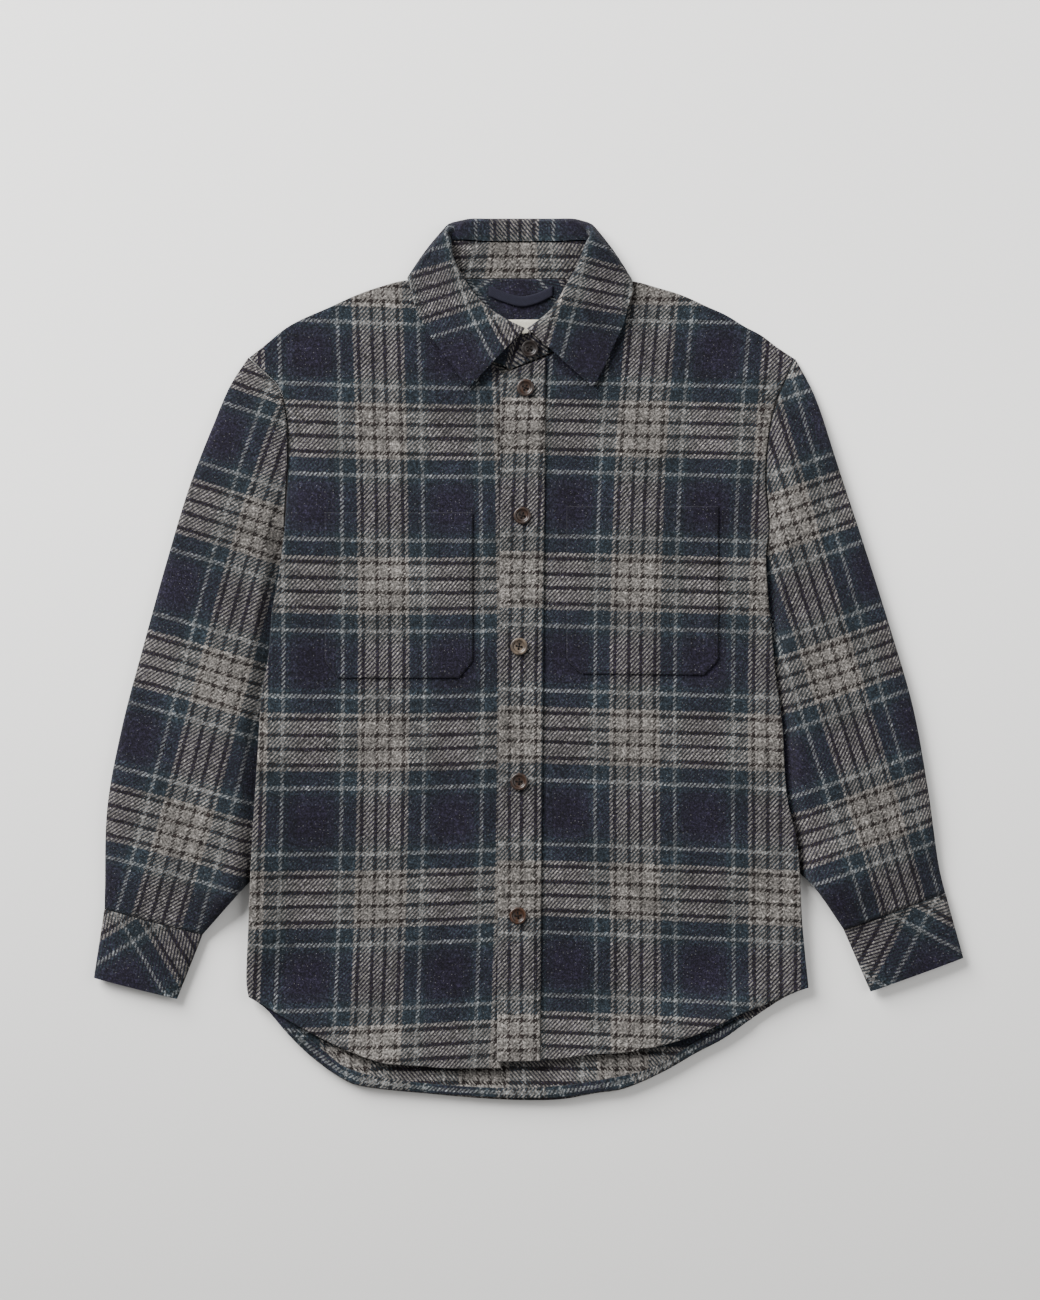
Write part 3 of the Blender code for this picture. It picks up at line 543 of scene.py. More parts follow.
class Bench:
    """Sets out and wires the nodes of one tree."""

    def __init__(self, tree: bpy.types.NodeTree) -> None:
        """Takes the tree to work on."""
        self.tree = tree

    def node(self, kind: str, **settings: object) -> bpy.types.Node:
        """A new node with its settings."""
        made = self.tree.nodes.new(kind)
        for name, value in settings.items():
            setattr(made, name, value)
        return made

    def wire(self, value: object, socket: bpy.types.NodeSocket) -> None:
        """Link a socket to another, or set its value."""
        if isinstance(value, bpy.types.NodeSocket):
            self.tree.links.new(value, socket)
        else:
            socket.default_value = value

    def math(self, operation: str, *values: object) -> bpy.types.NodeSocket:
        """The result of a Math node."""
        made = self.node("ShaderNodeMath", operation=operation)
        for value, socket in zip(values, made.inputs):
            self.wire(value, socket)
        return made.outputs[0]

    def vector(self, operation: str, *values: object) -> bpy.types.NodeSocket:
        """The vector result of a Vector Math node."""
        made = self.node("ShaderNodeVectorMath", operation=operation)
        for value, socket in zip(values, made.inputs):
            self.wire(value, socket)
        return made.outputs[0]

    def mix(self, share: object, first: object, second: object,
            kind: str = "MIX") -> bpy.types.NodeSocket:
        """Two colours mixed."""
        made = self.node("ShaderNodeMix", data_type="RGBA", blend_type=kind)
        for value, socket in zip((share, first, second), (made.inputs[0], made.inputs[6],
                                                          made.inputs[7])):
            self.wire(value, socket)
        return made.outputs[2]

    def spread(self, value: object, low: float, high: float, out_low: float,
               out_high: float) -> bpy.types.NodeSocket:
        """A value moved from one range to another."""
        made = self.node("ShaderNodeMapRange")
        for item, socket in zip((value, low, high, out_low, out_high), made.inputs):
            self.wire(item, socket)
        return made.outputs[0]

    def tinted(self, colour: object, tone: object) -> bpy.types.NodeSocket:
        """A colour made lighter or darker by a factor."""
        grey = self.node("ShaderNodeCombineColor")
        for socket in grey.inputs[:3]:
            self.wire(tone, socket)
        return self.mix(1.0, colour, grey.outputs[0], "MULTIPLY")

    def bumped(self, height: object, strength: float, depth: float,
               shader: bpy.types.Node) -> None:
        """Raise a shader's surface by a height, at most as deep as given in metres."""
        bump = self.node("ShaderNodeBump")
        bump.inputs["Strength"].default_value = strength
        bump.inputs["Distance"].default_value = depth
        self.wire(height, bump.inputs["Height"])
        self.wire(bump.outputs[0], shader.inputs["Normal"])

    def fixed(self, shader: bpy.types.Node, **values: object) -> None:
        """Set a shader's own values; an underscore stands for a space in a socket's name."""
        for name, value in values.items():
            shader.inputs[name.replace("_", " ")].default_value = value

    def noise(self, place: object, scale: float, detail: float = 2.0,
              roughness: float = 0.5) -> bpy.types.Node:
        """A noise texture on a place."""
        made = self.node("ShaderNodeTexNoise")
        self.wire(place, made.inputs["Vector"])
        self.fixed(made, Scale=scale, Detail=detail, Roughness=roughness)
        return made


def new_group(name: str, inputs: dict[str, tuple[str, object]],
              outputs: dict[str, str]) -> tuple[Bench, bpy.types.Node, bpy.types.Node]:
    """An empty shader node group.

    Args:
        name: the group's name.
        inputs: socket kinds and starting values by name.
        outputs: socket kinds by name.

    Returns:
        A bench on it, its input node and its output node.
    """
    tree = bpy.data.node_groups.new(name, "ShaderNodeTree")
    for socket_name, (kind, value) in inputs.items():
        socket = tree.interface.new_socket(name=socket_name, in_out="INPUT", socket_type=kind)
        if value is not None:
            socket.default_value = value
    for socket_name, kind in outputs.items():
        tree.interface.new_socket(name=socket_name, in_out="OUTPUT", socket_type=kind)
    bench = Bench(tree)
    return bench, bench.node("NodeGroupInput"), bench.node("NodeGroupOutput")


def new_material(name: str) -> tuple[bpy.types.Material, Bench, bpy.types.Node]:
    """A material with a bench on its tree and its Principled shader."""
    material = bpy.data.materials.new(name)
    material.use_nodes = True
    return material, Bench(material.node_tree), material.node_tree.nodes["Principled BSDF"]


Colour = tuple[float, float, float]


def linear(red: float, green: float, blue: float) -> Colour:
    """A screen colour, of 0 to 255 a channel, as the linear one that shaders use."""
    return tuple(c / 12.92 if c <= 0.04045 else ((c + 0.055) / 1.055) ** 2.4
                 for c in (red / 255, green / 255, blue / 255))


@dataclass(frozen=True)
class Sett:
    """The check: yarns by their number of threads from the middle of the pale band outwards."""

    pale: Colour = linear(84, 81, 78)
    dark: Colour = linear(24, 20, 19)
    teal: Colour = linear(23, 29, 34)
    white: Colour = linear(75, 77, 78)
    dusk: Colour = linear(21, 22, 30)
    navy: Colour = linear(19, 17, 27)
    half_repeat: int = 79
    warp_pitch: float = 0.833 * MM
    weft_pitch: float = 0.936 * MM
    wale: float = 1.16

    def runs(self) -> tuple[tuple[int, Colour], ...]:
        """Each run's first thread and colour."""
        return ((0, self.pale), (5, self.dark), (9, self.pale), (21, self.dark), (25, self.pale),
                (29, self.teal), (44, self.white), (48, self.teal), (54, self.dusk),
                (63, self.navy))

    def yarn_group(self) -> bpy.types.NodeTree:
        """A group that gives the yarn at a thread count: its colour and roundness."""
        bench, given, out = new_group(
            "yarns", {"Threads": ("NodeSocketFloat", 0.0), "Seed": ("NodeSocketFloat", 0.0)},
            {"Colour": "NodeSocketColor", "Round": "NodeSocketFloat"})
        number = bench.math("FLOOR", given.outputs["Threads"])
        half = bench.math("PINGPONG", bench.math("ADD", number, 0.5), float(self.half_repeat))
        ramp = bench.node("ShaderNodeValToRGB")
        ramp.color_ramp.interpolation = "CONSTANT"
        stops = ramp.color_ramp.elements
        for at, (first, colour) in enumerate(self.runs()):
            stop = stops[at] if at < 1 else stops.new(first / self.half_repeat)
            stop.position = first / self.half_repeat
            stop.color = (*colour, 1.0)
        stops.remove(stops[len(stops) - 1])
        bench.wire(bench.math("DIVIDE", half, float(self.half_repeat)), ramp.inputs[0])
        random = bench.node("ShaderNodeTexWhiteNoise", noise_dimensions="1D")
        bench.wire(bench.math("ADD", number, given.outputs["Seed"]), random.inputs["W"])
        uneven = bench.spread(random.outputs["Value"], 0.0, 1.0, 0.78, 1.22)
        bench.wire(bench.tinted(ramp.outputs[0], uneven), out.inputs["Colour"])
        side = bench.math("SUBTRACT", bench.math(
            "MULTIPLY", bench.math("FRACT", given.outputs["Threads"]), 2.0), 1.0)
        bench.wire(bench.math("SUBTRACT", 1.0, bench.math("MULTIPLY", side, side)),
                   out.inputs["Round"])
        return bench.tree


class Nap:
    """The raised fibres of wool, as a group that any cloth can use."""

    def __init__(self) -> None:
        """Builds the group."""
        bench, given, out = new_group(
            "nap", {"Place": ("NodeSocketVector", None), "Weave": ("NodeSocketVector", None),
                    "Depth": ("NodeSocketFloat", 1.0)},
            {"Tone": "NodeSocketFloat", "Height": "NodeSocketFloat",
             "Neps": "NodeSocketFloat"})
        place = given.outputs["Place"]
        fine = bench.noise(place, 540.0, 2.0, 0.65).outputs[0]
        tuft = bench.noise(place, 300.0, 2.0, 0.55).outputs[0]
        broad = bench.noise(place, 20.0, 3.0, 0.55).outputs[0]
        tone = bench.math("ADD", bench.math("MULTIPLY", bench.math("SUBTRACT", fine, 0.5), 4.0),
                          bench.math("MULTIPLY", bench.math("SUBTRACT", tuft, 0.5), 1.9))
        tone = bench.math("ADD", tone, bench.math("MULTIPLY", bench.math(
            "SUBTRACT", broad, 0.5), 1.0))
        tone = bench.math("MULTIPLY", tone, given.outputs["Depth"])
        bench.wire(bench.math("POWER", 2.0, tone), out.inputs["Tone"])
        bench.wire(bench.math("ADD", bench.math("MULTIPLY", fine, 0.4), tuft),
                   out.inputs["Height"])
        specks = bench.node("ShaderNodeTexVoronoi", feature="F1", voronoi_dimensions="2D")
        bench.wire(given.outputs["Weave"], specks.inputs["Vector"])
        specks.inputs["Scale"].default_value = 260.0
        parts = bench.node("ShaderNodeSeparateColor")
        bench.wire(specks.outputs["Color"], parts.inputs[0])
        size = bench.spread(parts.outputs[0], 0.5, 1.0, 0.0, 0.11)
        near = bench.math("LESS_THAN", specks.outputs["Distance"], size)
        bench.wire(near, out.inputs["Neps"])
        self.tree = bench.tree


@dataclass(frozen=True)
class CheckWool:
    """The jacket's heavy napped twill in its woven check."""

    name: str = "check_wool"
    sett: Sett = field(default_factory=Sett)
    ragged: float = 0.8
    shake_scale: float = 700.0
    spill: float = 5.5
    warp_shares: tuple[float, float] = (-0.12, 0.92)
    depth: float = 1.7
    nep_share: float = 0.6
    nep: Colour = linear(104, 104, 102)
    # seam is how strongly the painted edge shade darkens the cloth, and shade is its colour: a
    # dark line along every panel's edge that stands in for the shade in its fold.
    seam: float = 0.5
    shade: Colour = linear(10, 9, 12)
    relief: float = 0.7 * MM

    def weave_group(self) -> bpy.types.NodeTree:
        """A group that gives the woven cloth's colour and height at a place on it."""
        yarns = self.sett.yarn_group()
        bench, given, out = new_group(
            "check_twill", {"Weave": ("NodeSocketVector", None),
                            "Place": ("NodeSocketVector", None),
                            "Ragged": ("NodeSocketFloat", 0.5)},
            {"Colour": "NodeSocketColor", "Height": "NodeSocketFloat"})
        shake = bench.vector("SUBTRACT", bench.noise(
            given.outputs["Place"], self.shake_scale, 1.0).outputs["Color"], (0.5, 0.5, 0.5))
        parts = bench.node("ShaderNodeSeparateXYZ")
        bench.wire(given.outputs["Weave"], parts.inputs[0])
        stray = bench.node("ShaderNodeSeparateXYZ")
        bench.wire(shake, stray.inputs[0])
        threads, steps = [], []
        for axis, pitch in enumerate((self.sett.warp_pitch, self.sett.weft_pitch)):
            count = bench.math("DIVIDE", parts.outputs[axis], pitch)
            drift = bench.math("MULTIPLY", stray.outputs[axis], given.outputs["Ragged"])
            threads.append(bench.math("ADD", count, bench.math("MULTIPLY", drift, self.spill)))
            steps.append(bench.math("FLOOR", bench.math(
                "DIVIDE", bench.math("ADD", count, drift), self.sett.wale)))
        found = []
        for at, count in enumerate(threads):
            made = bench.node("ShaderNodeGroup", node_tree=yarns)
            bench.wire(count, made.inputs["Threads"])
            made.inputs["Seed"].default_value = 1000.0 * at
            found.append(made)
        warp, weft = found
        step = bench.math("FLOORED_MODULO", bench.math("SUBTRACT", *steps), 4.0)
        over = bench.math("LESS_THAN", step, 2.0)
        share = bench.spread(over, 0.0, 1.0, *self.warp_shares)
        bench.wire(bench.mix(share, weft.outputs["Colour"], warp.outputs["Colour"]),
                   out.inputs["Colour"])
        low = bench.math("MULTIPLY", weft.outputs["Round"], bench.math("SUBTRACT", 1.0, over))
        bench.wire(bench.math("ADD", bench.math("MULTIPLY", warp.outputs["Round"], over), low),
                   out.inputs["Height"])
        return bench.tree

    def build(self, nap: Nap) -> bpy.types.Material:
        """The cloth's material.

        Args:
            nap: the wool's raised fibres.

        Returns:
            The material.
        """
        material, bench, shader = new_material(self.name)
        weave = bench.node("ShaderNodeUVMap", uv_map="weave")
        place = bench.node("ShaderNodeTexCoord").outputs["Object"]
        twill = bench.node("ShaderNodeGroup", node_tree=self.weave_group())
        bench.wire(weave.outputs[0], twill.inputs["Weave"])
        bench.wire(place, twill.inputs["Place"])
        twill.inputs["Ragged"].default_value = self.ragged
        fibres = bench.node("ShaderNodeGroup", node_tree=nap.tree)
        bench.wire(place, fibres.inputs["Place"])
        bench.wire(weave.outputs[0], fibres.inputs["Weave"])
        fibres.inputs["Depth"].default_value = self.depth
        colour = bench.tinted(twill.outputs["Colour"], fibres.outputs["Tone"])
        colour = bench.mix(bench.math("MULTIPLY", fibres.outputs["Neps"], self.nep_share),
                           colour, (*self.nep, 1.0))
        # Painted shade: the colour darkens towards the shade colour along every panel's edge, in
        # place of the shade in its fold.
        painted_edge_shade = bench.node("ShaderNodeAttribute", attribute_name="painted_edge_shade").outputs["Fac"]
        colour = bench.mix(bench.math("MULTIPLY", painted_edge_shade, self.seam), colour, (*self.shade, 1.0))
        bench.wire(colour, shader.inputs["Base Color"])
        bench.wire(bench.spread(fibres.outputs["Height"], 0.4, 1.0, 0.86, 1.0),
                   shader.inputs["Roughness"])
        bench.fixed(shader, Specular_IOR_Level=0.08, Sheen_Weight=0.05, Sheen_Roughness=0.5)
        height = bench.math("ADD", bench.math("MULTIPLY", twill.outputs["Height"], 0.5),
                            fibres.outputs["Height"])
        bench.bumped(height, 0.8, self.relief, shader)
        return material


@dataclass(frozen=True)
class PlainCloth:
    """A plain woven tape or ribbon."""

    name: str
    colour: Colour
    pitch: float
    weave_shading: float

    def build(self, nap: Nap) -> bpy.types.Material:
        """The tape's material.

        Args:
            nap: raised fibres, here only a little.

        Returns:
            The material.
        """
        material, bench, shader = new_material(self.name)
        weave = bench.node("ShaderNodeUVMap", uv_map="weave")
        parts = bench.node("ShaderNodeSeparateXYZ")
        bench.wire(weave.outputs[0], parts.inputs[0])
        waves = [bench.math("SINE", bench.math("MULTIPLY", parts.outputs[axis],
                                               2 * math.pi / self.pitch)) for axis in (0, 1)]
        rib = bench.math("MULTIPLY", waves[0], waves[1])
        fibres = bench.node("ShaderNodeGroup", node_tree=nap.tree)
        bench.wire(bench.node("ShaderNodeTexCoord").outputs["Object"], fibres.inputs["Place"])
        fibres.inputs["Depth"].default_value = 0.25
        # Painted shade and light of the weave: the colour is lighter on the yarns' crests and
        # darker in the troughs between them, following the same rib as the bump; the nap adds tone
        # that differs at random.
        tone = bench.math("MULTIPLY", bench.spread(rib, -1.0, 1.0, 1 - self.weave_shading,
                                                   1 + self.weave_shading), fibres.outputs["Tone"])
        bench.wire(bench.tinted((*self.colour, 1.0), tone), shader.inputs["Base Color"])
        bench.wire(bench.spread(rib, -1.0, 1.0, 0.96, 0.82), shader.inputs["Roughness"])
        bench.fixed(shader, Specular_IOR_Level=0.15)
        bench.bumped(rib, 0.4, 0.3 * MM, shader)
        return material


@dataclass(frozen=True)
class Horn:
    """Polished horn with streaks and turned rings."""

    name: str
    core: Colour
    streak: Colour

    def build(self) -> bpy.types.Material:
        """The button's material."""
        material, bench, shader = new_material(self.name)
        place = bench.node("ShaderNodeTexCoord").outputs["Object"]
        stretch = bench.node("ShaderNodeMapping")
        bench.wire(place, stretch.inputs["Vector"])
        stretch.inputs["Scale"].default_value = (1.0, 0.35, 1.0)
        cloud = bench.noise(stretch.outputs[0], 320.0, 4.0, 0.6).outputs[0]
        share = bench.spread(cloud, 0.35, 0.65, 0.0, 1.0)
        bench.wire(bench.mix(share, (*self.core, 1.0), (*self.streak, 1.0)),
                   shader.inputs["Base Color"])
        bench.wire(bench.spread(cloud, 0.3, 0.7, 0.34, 0.5), shader.inputs["Roughness"])
        bench.fixed(shader, Specular_IOR_Level=0.3, Coat_Weight=0.1, Coat_Roughness=0.25)
        bench.bumped(bench.noise(place, 2600.0, 2.0, 0.6).outputs[0], 0.15, 0.2 * MM, shader)
        return material


@dataclass
class Wardrobe:
    """All finishes of the jacket."""

    wool: bpy.types.Material
    navy_wool: bpy.types.Material
    cotton: bpy.types.Material
    thread: bpy.types.Material
    horns: tuple[bpy.types.Material, ...]

    @classmethod
    def make(cls) -> Wardrobe:
        """Builds every finish once."""
        nap = Nap()
        horns = tuple(Horn(f"horn_{name}", linear(*core), linear(*streak)).build()
                      for name, core, streak in (
                          ("dark", (24, 15, 11), (14, 9, 7)),
                          ("brown", (42, 27, 18), (20, 13, 9)),
                          ("pale", (84, 73, 62), (42, 34, 27)),
                          ("amber", (46, 26, 13), (24, 14, 8))))
        return cls(
            wool=CheckWool().build(nap),
            navy_wool=PlainCloth("navy_tape", linear(20, 20, 30), 1.6 * MM, 0.25).build(nap),
            cotton=PlainCloth("label_tape", linear(170, 165, 152), 0.9 * MM, 0.06).build(nap),
            thread=PlainCloth("sewing_thread", linear(14, 12, 12), 0.5 * MM, 0.3).build(nap),
            horns=horns)


class Side(Enum):
    """The photograph's left and right of the jacket."""

    LEFT = "left"
    RIGHT = "right"


def dress(piece: bpy.types.Object, slot: str, *nodes: str) -> bpy.types.Object:
    """Ride a piece on the jacket and hide the solids that it stands for."""
    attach(piece, ROOT)
    if nodes:
        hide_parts(*nodes)
    LOG.info("%s: %d faces", piece.name, len(piece.data.polygons))
    return piece


def join_lines(*lines: np.ndarray) -> np.ndarray:
    """One line from several that meet end to end."""
    return np.vstack([line if i == 0 else line[1:] for i, line in enumerate(lines)])


class Seams:
    """Rows of stitches, sewn along lines by Geometry Nodes."""

    def __init__(self, thread: bpy.types.Material) -> None:
        """Starts with no rows.

        Args:
            thread: the stitches' finish.
        """
        self.thread = thread
        self.rows: list[np.ndarray] = []
        self.sizes = {"Pitch": 3.6 * MM, "Length": 2.5 * MM, "Width": 0.55 * MM}

    def sew(self, piece: bpy.types.Object, line: np.ndarray) -> None:
        """Add a row on a piece's upper face.

        Args:
            piece: the finished piece.
            line: the row's plan points.
        """
        corners = [vertex.co for vertex in piece.data.vertices]
        faces = [face.vertices for face in piece.data.polygons]
        tree = BVHTree.FromPolygons(corners, faces)
        plan = at_shares(line, np.linspace(0, 1, max(3, int(length_of(line) / (4 * MM)))))
        hits = [tree.ray_cast(Vector((x, y, 1)), DOWN)[0] for x, y in plan]
        self.rows.append(np.array([hit for hit in hits if hit is not None]))

    def tree(self) -> bpy.types.NodeTree:
        """The nodes: a line becomes a curve, and each of its points a stitch along it."""
        tree = bpy.data.node_groups.new("stitches", "GeometryNodeTree")
        tree.interface.new_socket(name="Rows", in_out="INPUT", socket_type="NodeSocketGeometry")
        for name in self.sizes:
            tree.interface.new_socket(name=name, in_out="INPUT", socket_type="NodeSocketFloat")
        tree.interface.new_socket(name="Stitches", in_out="OUTPUT",
                                  socket_type="NodeSocketGeometry")
        bench = Bench(tree)
        given, out = bench.node("NodeGroupInput"), bench.node("NodeGroupOutput")
        curve = bench.node("GeometryNodeMeshToCurve")
        bench.wire(given.outputs["Rows"], curve.inputs["Mesh"])
        points = bench.node("GeometryNodeResampleCurve", mode="LENGTH")
        bench.wire(curve.outputs[0], points.inputs["Curve"])
        bench.wire(given.outputs["Pitch"], points.inputs["Length"])
        stitch = bench.node("GeometryNodeMeshIcoSphere")
        stitch.inputs["Radius"].default_value = 0.5
        stitch.inputs["Subdivisions"].default_value = 1
        along = bench.node("FunctionNodeAlignRotationToVector", axis="X")
        bench.wire(bench.node("GeometryNodeInputTangent").outputs[0], along.inputs["Vector"])
        uneven = bench.node("FunctionNodeRandomValue", data_type="FLOAT_VECTOR")
        uneven.inputs[0].default_value = (0.85, 0.85, 0.8)
        uneven.inputs[1].default_value = (1.1, 1.15, 1.0)
        uneven.inputs["Seed"].default_value = 11
        size = bench.node("ShaderNodeCombineXYZ")
        for socket, name in zip(size.inputs, ("Length", "Width", "Width")):
            bench.wire(given.outputs[name], socket)
        placed = bench.node("GeometryNodeInstanceOnPoints")
        bench.wire(points.outputs[0], placed.inputs["Points"])
        bench.wire(stitch.outputs[0], placed.inputs["Instance"])
        bench.wire(along.outputs[0], placed.inputs["Rotation"])
        bench.wire(bench.vector("MULTIPLY", uneven.outputs[0], size.outputs[0]),
                   placed.inputs["Scale"])
        real = bench.node("GeometryNodeRealizeInstances")
        bench.wire(placed.outputs[0], real.inputs[0])
        coloured = bench.node("GeometryNodeSetMaterial")
        coloured.inputs["Material"].default_value = self.thread
        bench.wire(real.outputs[0], coloured.inputs["Geometry"])
        bench.wire(coloured.outputs[0], out.inputs[0])
        return tree

    def build(self) -> None:
        """All rows as one mesh."""
        corners, edges = [], []
        for row in self.rows:
            first = len(corners)
            corners += [tuple(point) for point in row]
            edges += [(k, k + 1) for k in range(first, len(corners) - 1)]
        mesh = bpy.data.meshes.new("seam_stitches")
        mesh.from_pydata(corners, edges, [])
        piece = linked("seam_stitches", mesh)
        nodes = piece.modifiers.new("stitches", "NODES")
        nodes.node_group = self.tree()
        for item in nodes.node_group.interface.items_tree:
            if item.name in self.sizes:
                nodes[item.identifier] = self.sizes[item.name]
        apply_modifiers(piece)
        piece.data.uv_layers.new(name="weave")
        piece.data.shade_smooth()
        dress(piece, "front_cloth")


@dataclass
class Body:
    """The back with its facing, the two fronts, the placket and the pockets."""

    frame: dict
    wardrobe: Wardrobe
    relief: Relief
    seams: Seams
    lay_left: Lay
    lay_right: Lay
    lay_back: Lay
    lay_yoke: Lay
    lay_placket: Lay
    yoke_line: float = 0.15
    hem_lift: float = 7.0 * MM
    hem_reach: float = 55 * MM
    edge_lift: float = 7.0 * MM
    edge_reach: float = 45 * MM
    # How much of the painted edge shade a pocket keeps on its sides that face the lamp.
    lit_side_shade_share: float = 0.2

    def raised(self, plan: np.ndarray) -> np.ndarray:
        """How far every layer over a place is raised above its solid."""
        outline = np.vstack([smooth_line(SIDE_LEFT), smooth_line(BACK_HEM),
                             smooth_line(SIDE_RIGHT)[::-1]])
        away = np.full(plan.shape[:-1], np.inf)
        for point in outline[::3]:
            away = np.minimum(away, np.linalg.norm(plan - point, axis=-1))
        curl = (1 - smooth_step(away, 0, self.edge_reach)) * smooth_step(-plan[..., 1], 0.1, 0.24)
        return self.relief.lift(plan) + self.edge_lift * curl

    def hem_rise(self, plan: np.ndarray) -> np.ndarray:
        """How far the fronts stand off the back along their hem."""
        hem = np.vstack([smooth_line(FRONT_HEM_LEFT), smooth_line(FRONT_HEM_RIGHT)])
        order = np.argsort(hem[:, 0])
        level = np.interp(plan[..., 0], hem[order, 0], hem[order, 1])
        middle = 1 - smooth_step(np.abs(plan[..., 0]), 0.15, 0.25)
        low = 1 - smooth_step(plan[..., 1] - level, 0.0, self.hem_reach)
        return self.hem_lift * middle * low

    def panel(self, name: str, plan: np.ndarray, lay: Lay, wall: float, rounds: int = 3,
              rise: np.ndarray | float = 0.0) -> bpy.types.Object:
        """A panel on its solid's upper face.

        Args:
            name: the piece's and the solid's name.
            plan: its plan grid.
            lay: how it is cut from the check.
            wall: its thickness.
            rounds: how much its kinks are softened.
            rise: what else lifts it.

        Returns:
            The panel.
        """
        top = softened(Form(self.frame, name).top(plan), rounds) + self.raised(plan) + rise
        uv = lay.uv(plan)
        if name == "back":
            above = plan[..., 1] > self.yoke_line
            uv[above] = self.lay_yoke.uv(plan)[above]
        return make_shell(f"{name}_cloth", plan, top, wall, uv, self.wardrobe.wool)

    def back(self) -> bpy.types.Object:
        """The back panel, whose inner face shows at the neck and below the front hem."""
        left = join_lines(smooth_line(SIDE_LEFT[::-1]), smooth_line(ARMHOLE_LEFT[::-1]))
        right = join_lines(smooth_line(SIDE_RIGHT[::-1]), smooth_line(ARMHOLE_RIGHT[::-1]))
        upper = join_lines(smooth_line(SHOULDER_LEFT), smooth_line(BACK_NECK),
                           smooth_line(SHOULDER_RIGHT))
        plan = patch(left, right, smooth_line(BACK_HEM), upper,
                     graded(0.53, CELL * 1.4), graded(0.68, CELL * 1.4))
        piece = dress(self.panel("back", plan, self.lay_back, CLOTH), "body_cloth", "back")
        return piece

    def front(self, side: Side) -> bpy.types.Object:
        """One front, from the side seam to the placket."""
        if side is Side.LEFT:
            seam = join_lines(smooth_line(SIDE_LEFT[::-1]), smooth_line(ARMHOLE_LEFT[::-1]))
            upper = join_lines(smooth_line(SHOULDER_LEFT), smooth_line(NECK_LEFT))
            lower = smooth_line(FRONT_HEM_LEFT)
            left, right = seam, np.array([lower[-1], upper[-1]])
            lay = self.lay_left
        else:
            seam = join_lines(smooth_line(SIDE_RIGHT[::-1]), smooth_line(ARMHOLE_RIGHT[::-1]))
            upper = join_lines(smooth_line(NECK_RIGHT), smooth_line(SHOULDER_RIGHT))
            lower = smooth_line(FRONT_HEM_RIGHT)
            left, right = np.array([lower[0], upper[0]]), seam
            lay = self.lay_right
        plan = patch(left, right, lower, upper, graded(0.26, CELL), graded(0.66, CELL))
        name = f"front_{side.value}"
        piece = dress(self.panel(name, plan, lay, CLOTH, rise=self.hem_rise(plan)),
                      "front_cloth", name)
        self.seams.sew(piece, lower + (0, 9 * MM))
        return piece

    def placket(self) -> bpy.types.Object:
        """The doubled strip down the centre front."""
        left, right = smooth_line(PLACKET_LEFT[::-1]), smooth_line(PLACKET_RIGHT[::-1])
        plan = patch(left, right, np.array([left[0], right[0]]), np.array([left[-1], right[-1]]),
                     graded(0.042, CELL), graded(0.65, CELL))
        rise = self.hem_rise(plan)
        piece = dress(self.panel("placket", plan, self.lay_placket, DOUBLED, rise=rise),
                      "placket_cloth", "placket")
        for edge, inset in ((left, 6 * MM), (right, -6 * MM)):
            self.seams.sew(piece, edge + (inset, 0))
        return piece

    def pocket(self, side: Side) -> bpy.types.Object:
        """A patch pocket whose check runs on from the front's."""
        corners = np.array(POCKET_LEFT if side is Side.LEFT else POCKET_RIGHT, float) * MM
        mouth_left, mouth_right, side_right, cut_right, cut_left, side_left = corners
        left = np.array([cut_left, side_left, mouth_left])
        right = np.array([cut_right, side_right, mouth_right])
        plan = patch(left, right, np.array([cut_left, cut_right]),
                     np.array([mouth_left, mouth_right]), graded(0.14, CELL), graded(0.16, CELL))
        lay = self.lay_left if side is Side.LEFT else self.lay_right
        name = f"pocket_{side.value}"
        piece = self.panel(name, plan, lay, CLOTH)
        # Less painted shade along the pocket's mouth and left side, which face the lamp; the
        # painted shade line stays on the right side and the bottom.
        painted_edge_shade = piece.data.attributes["painted_edge_shade"].data
        for vertex in piece.data.vertices:
            if vertex.co.y > mouth_left[1] - LIP or vertex.co.x < side_left[0] + LIP:
                painted_edge_shade[vertex.index].value *= self.lit_side_shade_share
        dress(piece, "pocket_cloth", name)
        row = ((side_right, -3, 125), (side_right, -3, 0), (cut_right, -1.5, 3),
               (cut_left, 1.5, 3))
        self.seams.sew(piece, np.array([corner + (x * MM, y * MM) for corner, x, y in row]))
        return piece

    def facing(self) -> bpy.types.Object:
        """The strip that faces the back hem inside."""
        lower, upper = smooth_line(FACING_LOWER), smooth_line(FACING_UPPER)
        lips = (0.4 * MM, 1.1 * MM, 2.2 * MM)
        u, v = graded(0.46, CELL), graded(0.010, 0.003, lips)
        plan = patch(np.array([lower[0], upper[0]]), np.array([lower[-1], upper[-1]]),
                     lower, upper, u, v)
        run = length_of(lower)
        uv = np.stack(np.meshgrid(u * run - 0.5 * run, v * 0.010 + 0.038), axis=-1)
        top = softened(Form(self.frame, "hem_facing").top(plan, 1), 1) + self.raised(plan)
        piece = make_shell("hem_facing_cloth", plan, top, FACING, uv, self.wardrobe.wool)
        dress(piece, "facing_cloth", "hem_facing")
        return piece

    def build(self) -> None:
        """All of the body."""
        self.back()
        self.facing()
        for side in Side:
            self.front(side)
            self.pocket(side)
        self.placket()


